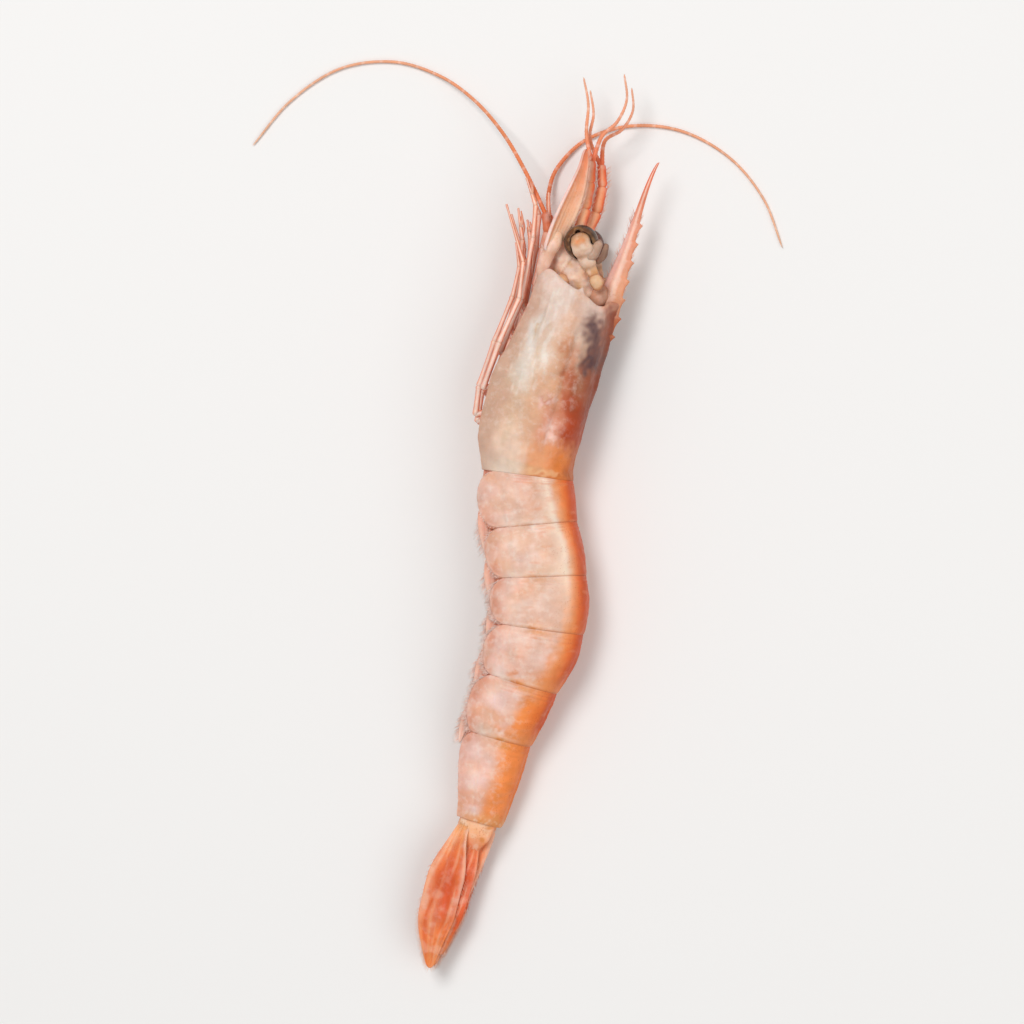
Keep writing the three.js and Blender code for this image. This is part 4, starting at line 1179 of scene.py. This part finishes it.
LIMBS = {  # half thickness, whether it ends in a claw, and the joints in s, d and l
    "maxilliped": (0.7, False, [
        (28.2, -6, 1), (30.8, -7.2, 0.95), (37.2, -7.9, 0.95), (42.4, -8.4, 1), (46.4, -9.6, 1),
    ]),
    "leg_1": (0.52, True, [
        (25, -6.2, 1.2), (27.4, -8.4, 1.3), (33, -9, 1.3), (38, -10.2, 1.4), (41, -11.7, 1.4),
    ]),
    "leg_2": (0.52, True, [
        (21.4, -6.9, 1.5), (23, -9.5, 1.6), (31, -9.9, 1.9), (37.5, -11.4, 2.2),
        (42.4, -13.6, 2.4),
    ]),
    "leg_3": (0.55, True, [
        (17.4, -7.5, 2), (18.6, -9.4, 2.9), (28, -8.5, 3.1), (38.4, -9.6, 3.6),
        (43.6, -10.7, 3.7), (47.6, -13.6, 3.5),
    ]),
    "leg_4": (0.55, False, [
        (13.4, -7.9, 2.2), (11.8, -10.3, 3.7), (20, -9.8, 4.9), (28, -8.7, 5), (34, -9.8, 5),
        (42.4, -15.4, 4.4),
    ]),
    "leg_5": (0.55, False, [
        (9, -7.8, 2), (7.2, -10.4, 2.3), (12, -11.2, 2.6), (20, -10.8, 3.4), (28, -10, 3.8),
        (33, -10.4, 3.5), (36.8, -12.2, 3),
    ]),
}
RIGHT_SLIP = -1.1  # how far the right legs lie behind the left ones
LIMB_TONES = (0, "#f0c4b2"), (0.4, "#f4c8b4"), (0.75, "#f0b194"), (1, "#e8936c")


def limb_skin(name, side, seed):
    """A jointed leg with bristles; a clawed one has a second finger beside its last piece."""
    half, claw, joints = LIMBS[name]
    points = np.array(placed(joints, side, RIGHT_SLIP if side < 0 else 0))
    thick = half * blend(1.2, 0.5, np.linspace(0, 1, len(points)))
    thick[-1] *= 0.6
    if claw:
        thick[-2] *= 1.25
    skin = Skin()
    # Orange side stripes, and a painted highlight along the top.
    stripe = ("#e8805a", "#fce6dc")
    add_articles(skin, points, thick, 0.9, LIMB_TONES, "#d98a62", 18, stripe=stripe)
    if claw:
        wrist, tip = points[-2:]
        away = body_way(0, 1, 0.25 * side)
        root = blend(wrist, tip, 0.42)
        end = blend(tip, wrist, 0.06) + away * 0.5
        path = curve([root, blend(root, end, 0.5) + away * 0.28, end], 16)
        t = np.linspace(0, 1, 16)
        rings, t, _ = rod_rings(path, blend(0.3, 0.1, t), blend(0.28, 0.1, t), 10)
        skin.rings(rings, ramp(t, (0, "#ecb59c"), (1, "#dc8360")), (0.1, 0.3))
    rng = np.random.default_rng(seed)
    count = 40 if name == "maxilliped" else 12
    where = rng.uniform(0.25, 0.98, count) * (len(points) - 1)
    index = where.astype(int)
    piece = points[index + 1] - points[index]
    roots = points[index] + piece * (where - index)[:, None]
    ways = unit(piece) * 0.7 + rng.normal(0, 0.45, (count, 3))
    tips = roots + ways * rng.uniform(0.6, 1.3, (count, 1))
    skin.hairs(roots, tips, 0.035, ("#f4c4b0", "#fde6dc"), floor=0.1)
    return skin


# ---- Swimmerets ----

SWIMMERET_SIZES = [1, 1, 1, 0.95, 0.8]


def add_leaf(skin, path, half, depth, rng, fringe):
    """A thin leaf with a midrib, and hairs along both edges, most where fringe is largest."""
    rows, sides, count = len(path), 32, 100
    half = half * rounded(ends(np.linspace(0, 1, rows)), 20, 0.02)
    along, _, normal = directions(path)
    rings, share, angle = rod_rings(path, half, depth, sides)
    v = np.sin(angle)
    rib = np.sign(np.cos(angle)) * 0.45 * bump(v, 0, 0.16) * (1 - 0.6 * share) * depth[:, None]
    rings = rings + normal[:, None] * rib[..., None]
    tones = (0, "#e6a68e"), (0.5, "#edbba6"), (1, "#f3cfbf")
    colours = painted(share, ramp(share, *tones), ("#df967a", 0.5 * bump(v, 0, 0.25)))
    skin.rings(rings, colours, (0.2, 0.2))
    row = rng.choice(rows, count, p=fringe / fringe.sum())
    edge = np.where(rng.integers(0, 2, count) == 1, sides // 4, 3 * sides // 4)
    stray = rng.normal(0, 0.08, (count, 3))
    length = rng.uniform(0.8, 1.5, (count, 1)) * fringe[row][:, None]
    skin.fringe(rings, path, along, row, edge, (0.75, 0.7, stray), length, 0.05,
                ("#f2c5b4", "#fbe4d8"), floor=HAIR_FLOOR)


def swimmeret_skin(number, side):
    """A short stem with two hairy leaves that lie back under the plates."""
    middle = (JOINTS[number] + JOINTS[number + 1]) / 2
    size = SWIMMERET_SIZES[number]
    _, belly, width = reaches(np.array(middle))
    root = float(hollow_at(middle)) - belly - 0.9
    lane = side * width / SEGMENTS[0][2][2]
    rng = np.random.default_rng(200 + 10 * number + (side > 0))
    skin = Skin()
    stem = [(1.9, root + 1.2, 1.7), (0, root - 0.6, 2), (-2, root - 1.1, 2.3)]
    t = np.linspace(0, 1, 30)
    full = rounded(ends(t), 12, 0.03)
    width = blend(0.5, 0.85, t) * size * full
    rings, share, _ = rod_rings(curve(placed(stem, lane, middle), 30), width, 0.6 * full, 20)
    skin.rings(rings, ramp(share, (0, "#e3a996"), (1, "#eabcae")), (0.3, 0.2))
    t = np.linspace(0, 1, 50)
    for spread, reach, scale in ((0.0, 4.2, 1.0), (-0.75, 2.6, 0.72)):
        leaf = [
            (-1, root - 0.8, 2.4 + spread),
            (-4, root - 1.1, 3.1 + spread),
            (-4 - reach * size, root - 1.0, 3.4 + 1.5 * spread),
        ]
        half = blend(1.05, 0.3, t**2) * size * scale
        fringe = smooth(t, 0.1, 0.5) + 0.05
        path = curve(placed(leaf, lane, middle), 50)
        add_leaf(skin, path, half, blend(0.34, 0.14, t), rng, fringe)
    return skin


# ---- Tail fan ----

BLADES = {  # path as the distance ahead of the abdomen's end, d and l; half width; thickness; tones
    "outer": (
        [(-0.6, -1.9, 2.1), (-4, -2.2, 3), (-12, -1.8, 3), (-20, -0.7, 2.7), (-26, 0.9, 2.2)],
        3.1, 0.4,
        ((0, "#eeac76"), (0.1, "#ee9e66"), (0.25, "#ea7c42"), (0.5, "#e66a38"),
         (0.75, "#ea7a3c"), (1, "#ec8c4a")),
    ),
    "inner": (
        [(-0.5, 0.2, 1.7), (-5, 0.2, 1.7), (-12, 0.4, 1.6), (-18, 0.9, 1.4), (-23.5, 1.6, 1.1)],
        2.3, 0.36,
        ((0, "#eeac76"), (0.14, "#ee8f5c"), (0.4, "#e2602e"), (0.75, "#e2602a"), (1, "#e67a38")),
    ),
}
NECK = [(0.6, -0.1, 1.75), (-1.4, -0.1, 2.05), (-3.4, -0.3, 1.95), (-5.6, -0.4, 1.35)]
NECK_TONES = (0, "#e8a066"), (0.2, "#f1ba92"), (0.45, "#f0ac7e"), (0.72, "#ea8a5a"), (1, "#e56c3e")
TELSON = [(-0.4, 1.9, 0), (-7, 1.8, 0), (-19.5, 2, 0)]


def add_neck(skin, side):
    """The broad root of a blade, which comes out of the last plate and thins out over the fan."""
    path = curve(placed(NECK, side, ABDOMEN_END), 60)
    t = np.linspace(0, 1, 60)
    width = blend(3.05, 1.9, smooth(t, 0.25, 1)) * rounded(t, 10, 0.04)
    depth = blend(0.75, 0.25, t)
    relief = 0.05 * ripple(rod_rings(path, width, depth, 56)[0], 1.1, 93)
    rings, t, around = rod_rings(path, width, depth, 56, relief=relief)
    blots = ripple(rings * [1, 1, 0], 1.1, 94)
    colours = painted(
        t, ramp(t, *NECK_TONES),
        ("#dd8438", 0.75 * smooth(blots, 0.4, 1.2) * smooth(t, 0.8, 0.4)),
        ("#f6cdb0", 0.5 * smooth(-blots, 0.3, 1.2)),
        ("#e2824c", 0.6 * smooth(np.abs(np.sin(around)), 0.8, 1.0)),
    )
    skin.rings(rings, colours, (0.2, 0.7))


def blade_skin(kind, side):
    """A tail blade: two ribs, fine lines that spread from its root, and a fringe round its end."""
    route, half, thick, tones = BLADES[kind]
    outer = kind == "outer"
    rows, sides, count = 140, 88, 420
    path = curve(placed(route, side, ABDOMEN_END), rows)
    t = np.linspace(0, 1, rows)
    width = half * blend(0.34, 1, smooth(t, 0, 0.4)) * blend(1, 0.35, smooth(t, 0.62, 1))
    width *= rounded((np.clip(t, 0.5, 1) - 0.5) * 10**0.3, 10, 0.03)
    depth = thick * blend(1.1, 0.3, t) * rounded(1 - t, 40, 0.05)
    rings, share, angle = rod_rings(path, width, depth, sides)
    v = np.sin(angle)  # 1 towards the belly, -1 towards the back
    ribs = 0.3 * bump(v, 0.12, 0.1) + 0.2 * bump(v, -0.5, 0.08) + 0.28 * bump(np.abs(v), 0.96, 0.06)
    fine = 0.05 * np.cos(v * (18 + 10 * share)) * smooth(share, 0.08, 0.3)
    suture = 0.14 * bump(share, 0.8 - 0.06 * v, 0.012) * outer
    lift = signed(np.cos(angle), 0.5) * thick / 0.4
    tip = smooth(share, 1.0, 0.84)
    if outer:
        curl = np.where(v > 0, 0.35 * (v**2 - 0.35), -0.6 * v**2 - 0.12)
    else:
        curl = -0.35 * (v**2 - 0.35)
    relief = lift * (ribs * (1 - 0.55 * share) + fine - suture) + curl * smooth(share, 0.1, 0.5)
    rings[..., 2] += relief * tip
    rings[..., 2] += 0.12 * ripple(rings, 3.5, 91)
    rings[..., 2] = np.maximum(rings[..., 2], 0.02)
    soft = ripple(rings * [1, 1, 0], 1.6, 92)
    streaks = ripple(np.stack([v * 5, share * 4, 0 * v], -1), 1.0, 96)
    middle = bump(v + 0.15 * soft, -0.25, 0.4) * smooth(share, 0.12, 0.35)
    back = smooth(-v + 0.1 * soft, 0.55, 0.92) * smooth(share, 0.75, 0.4)
    lines = bump(v, 0.12 + 0.55 * smooth(share, 0.3, 0.8), 0.07) + bump(v, -0.5, 0.06)
    colours = painted(
        share, ramp(share, *tones),
        ("#d8502e", 0.6 * middle * smooth(share, 0.8, 0.6)),
        ("#eeb08e", 0.65 * smooth(v + 0.15 * soft, 0.4, 0.9) * smooth(share, 0.9, 0.6)),
        ("#f2bfa8", (0.6 if outer else 0.18) * back),
        ("#e9a37a", 0.6 * bump(v, 0.35 - 0.3 * share, 0.3) * bump(share, 0.68, 0.2)),
        ("#d9622c", 0.75 * lines * smooth(share, 0.05, 0.2)),
        ("#f4c4a4", 0.35 * bump(v, 0.12, 0.05) * smooth(share, 0.55, 0.3)),
        ("#d2542a", 0.45 * smooth(streaks, 0.2, 1.2) * smooth(share, 0.04, 0.15)),
        ("#f7c39e", 0.35 * smooth(-streaks, 0.3, 1.2)),
        ("#e88a50", 0.5 * smooth(share, 0.72, 1.0)),
        ("#f5cbb4", 0.25 * smooth(soft, 0.3, 1.3)),
    )
    skin = Skin()
    skin.rings(rings, colours, (0.15, 0.5))
    if outer:
        add_neck(skin, side)
    rng = np.random.default_rng(300 + outer * 2 + (side > 0))
    weight = smooth(t, 0.2, 0.4) * 0.15 + smooth(t, 0.5, 0.95) * 2
    row = rng.choice(rows, count, p=weight / weight.sum())
    edge = np.where(rng.random(count) < 0.5, sides // 4, 3 * sides // 4)
    end = smooth(t[row], 0.7, 1)[:, None]
    skin.fringe(rings, path, directions(path)[0], row, edge, (0.6 - 0.25 * end, 0.55 + 0.5 * end),
                rng.uniform(0.5, 1.05, (count, 1)), 0.045, ("#e89a74", "#f5cbb2"), floor=HAIR_FLOOR)
    return skin


def telson_skin():
    """A long spike with a groove along its upper side and small spines near its tip, and the
    plug of flesh that closes the last plate."""
    rows, sides, count = 90, 40, 90
    path = curve(placed(TELSON, 1, ABDOMEN_END), rows)
    t = np.linspace(0, 1, rows)
    root = rounded(1 - t, 40, 0.05)
    rings, share, angle = rod_rings(
        path, blend(1.5, 0.18, t**1.4) * root, blend(0.85, 0.2, t) * root, sides)
    v = np.sin(angle)
    groove = 0.22 * bump(v, 0, 0.22) * (np.cos(angle) > 0) * smooth(share, 0.05, 0.2)
    rings[..., 2] -= groove * (1 - share)
    tones = (0, "#eea376"), (0.3, "#ea8c5c"), (1, "#de6636")
    colours = painted(share, ramp(share, *tones), ("#f4c3aa", 0.6 * smooth(np.abs(v), 0.5, 0.9)))
    skin = Skin()
    skin.rings(rings, colours, (0.15, 0.4))
    plug = (ABDOMEN_END + 0.7, 0.2, 0)
    add_lump(skin, plug, (1.5, 3.1, 2.55), math.pi, ("#e9a06c", "#e2905c"), 97, (0.2, 0.6))
    rng = np.random.default_rng(95)
    row = rng.integers(30, 86, count)
    edge = np.where(rng.random(count) < 0.5, sides // 4, 3 * sides // 4)
    along = np.broadcast_to(unit(path[-1] - path[0]), path.shape)
    skin.fringe(rings, path, along, row, edge, (0.4, 0.8), rng.uniform(0.5, 1.0, (count, 1)),
                0.05, ("#e08a66", "#f0bda4"))
    return skin


# ---- The whole animal ----

carapace = carapace_skin()
add_rostrum(carapace)
carapace.place("carapace", "carapace", SHELL)
for number in range(len(SEGMENTS)):
    abdomen_segment(number).place(f"abdomen_{number + 1}", "shell", SHELL)
head_skin().place("head", "flesh", LIMB)
telson_skin().place("telson", "fan", FAN)
for side, name in ((1, "left"), (-1, "right")):
    eye, stalk = eye_skins(side)
    eye.place(f"eye_{name}", "cornea", CORNEA)
    stalk.place(f"eyestalk_{name}", "flesh", LIMB)
    antenna_skin(side, name).place(f"antenna_{name}", "antenna", FEELER)
    antennule_skin(side, name).place(f"antennule_{name}", "antenna", FEELER)
    scale_skin(side).place(f"antennal_scale_{name}", "scale", LIMB)
    for order, limb in enumerate(LIMBS):
        limb_skin(limb, side, 400 + order).place(f"{limb}_{name}", "limb", LIMB)
    for number in range(len(SWIMMERET_SIZES)):
        skin = swimmeret_skin(number, side)
        skin.place(f"swimmeret_{number + 1}_{name}", "swimmeret", LIMB)
    for kind in BLADES:
        blade_skin(kind, side).place(f"uropod_{kind}_{name}", "fan", FAN)


# ---- Ground, light and camera ----

GROUND_REACH = 3.0
LIGHTS = {  # place, size and power; both are aimed at the middle of the ground
    "key": ((-0.24, 0.4, 0.95), 0.42, 5.8),
    "fill": ((0.62, -0.24, 0.8), 0.8, 3.0),
}
CAMERA_REACH = 0.7
CAMERA_LEAN = math.radians(7.5)
CAMERA_TARGET = Vector((0.0, 0.0, 0.005))


def make_ground():
    mesh = bpy.data.meshes.new("ground")
    ways = (-1, -1), (1, -1), (1, 1), (-1, 1)
    mesh.from_pydata([(x * GROUND_REACH, y * GROUND_REACH, 0) for x, y in ways], [], [(0, 1, 2, 3)])
    material = bpy.data.materials.new("ground")
    material.use_nodes = True
    shader = material.node_tree.nodes["Principled BSDF"]
    shader.inputs["Base Color"].default_value = (0.86, 0.85, 0.84, 1)
    shader.inputs["Roughness"].default_value = 0.7
    mesh.materials.append(material)
    linked("ground", mesh)


def make_lights():
    for name, (place, size, power) in LIGHTS.items():
        lamp = bpy.data.lights.new(name, "AREA")
        lamp.size = size
        lamp.energy = power
        holder = linked(name, lamp)
        holder.location = place
        holder.rotation_mode = "QUATERNION"
        holder.rotation_quaternion = (-Vector(place)).to_track_quat("-Z", "Y")


def make_camera():
    """Nearly straight above, and a little to the back's side, as in the photo."""
    camera = bpy.data.cameras.new("camera")
    camera.lens = 146
    camera.sensor_width = 36
    camera.clip_start = 0.01
    holder = linked("camera", camera)
    aside, up = CAMERA_REACH * math.sin(CAMERA_LEAN), CAMERA_REACH * math.cos(CAMERA_LEAN)
    holder.location = CAMERA_TARGET + Vector((aside, 0, up))
    holder.rotation_euler = (0, CAMERA_LEAN, 0)
    bpy.context.scene.camera = holder


def make_world():
    world = bpy.data.worlds.new("studio")
    world.use_nodes = True
    background = world.node_tree.nodes["Background"]
    background.inputs["Color"].default_value = (1.0, 0.99, 0.975, 1)
    background.inputs["Strength"].default_value = 0.42
    bpy.context.scene.world = world


bpy.context.scene.view_settings.view_transform = "Standard"
make_ground()
make_lights()
make_camera()
make_world()
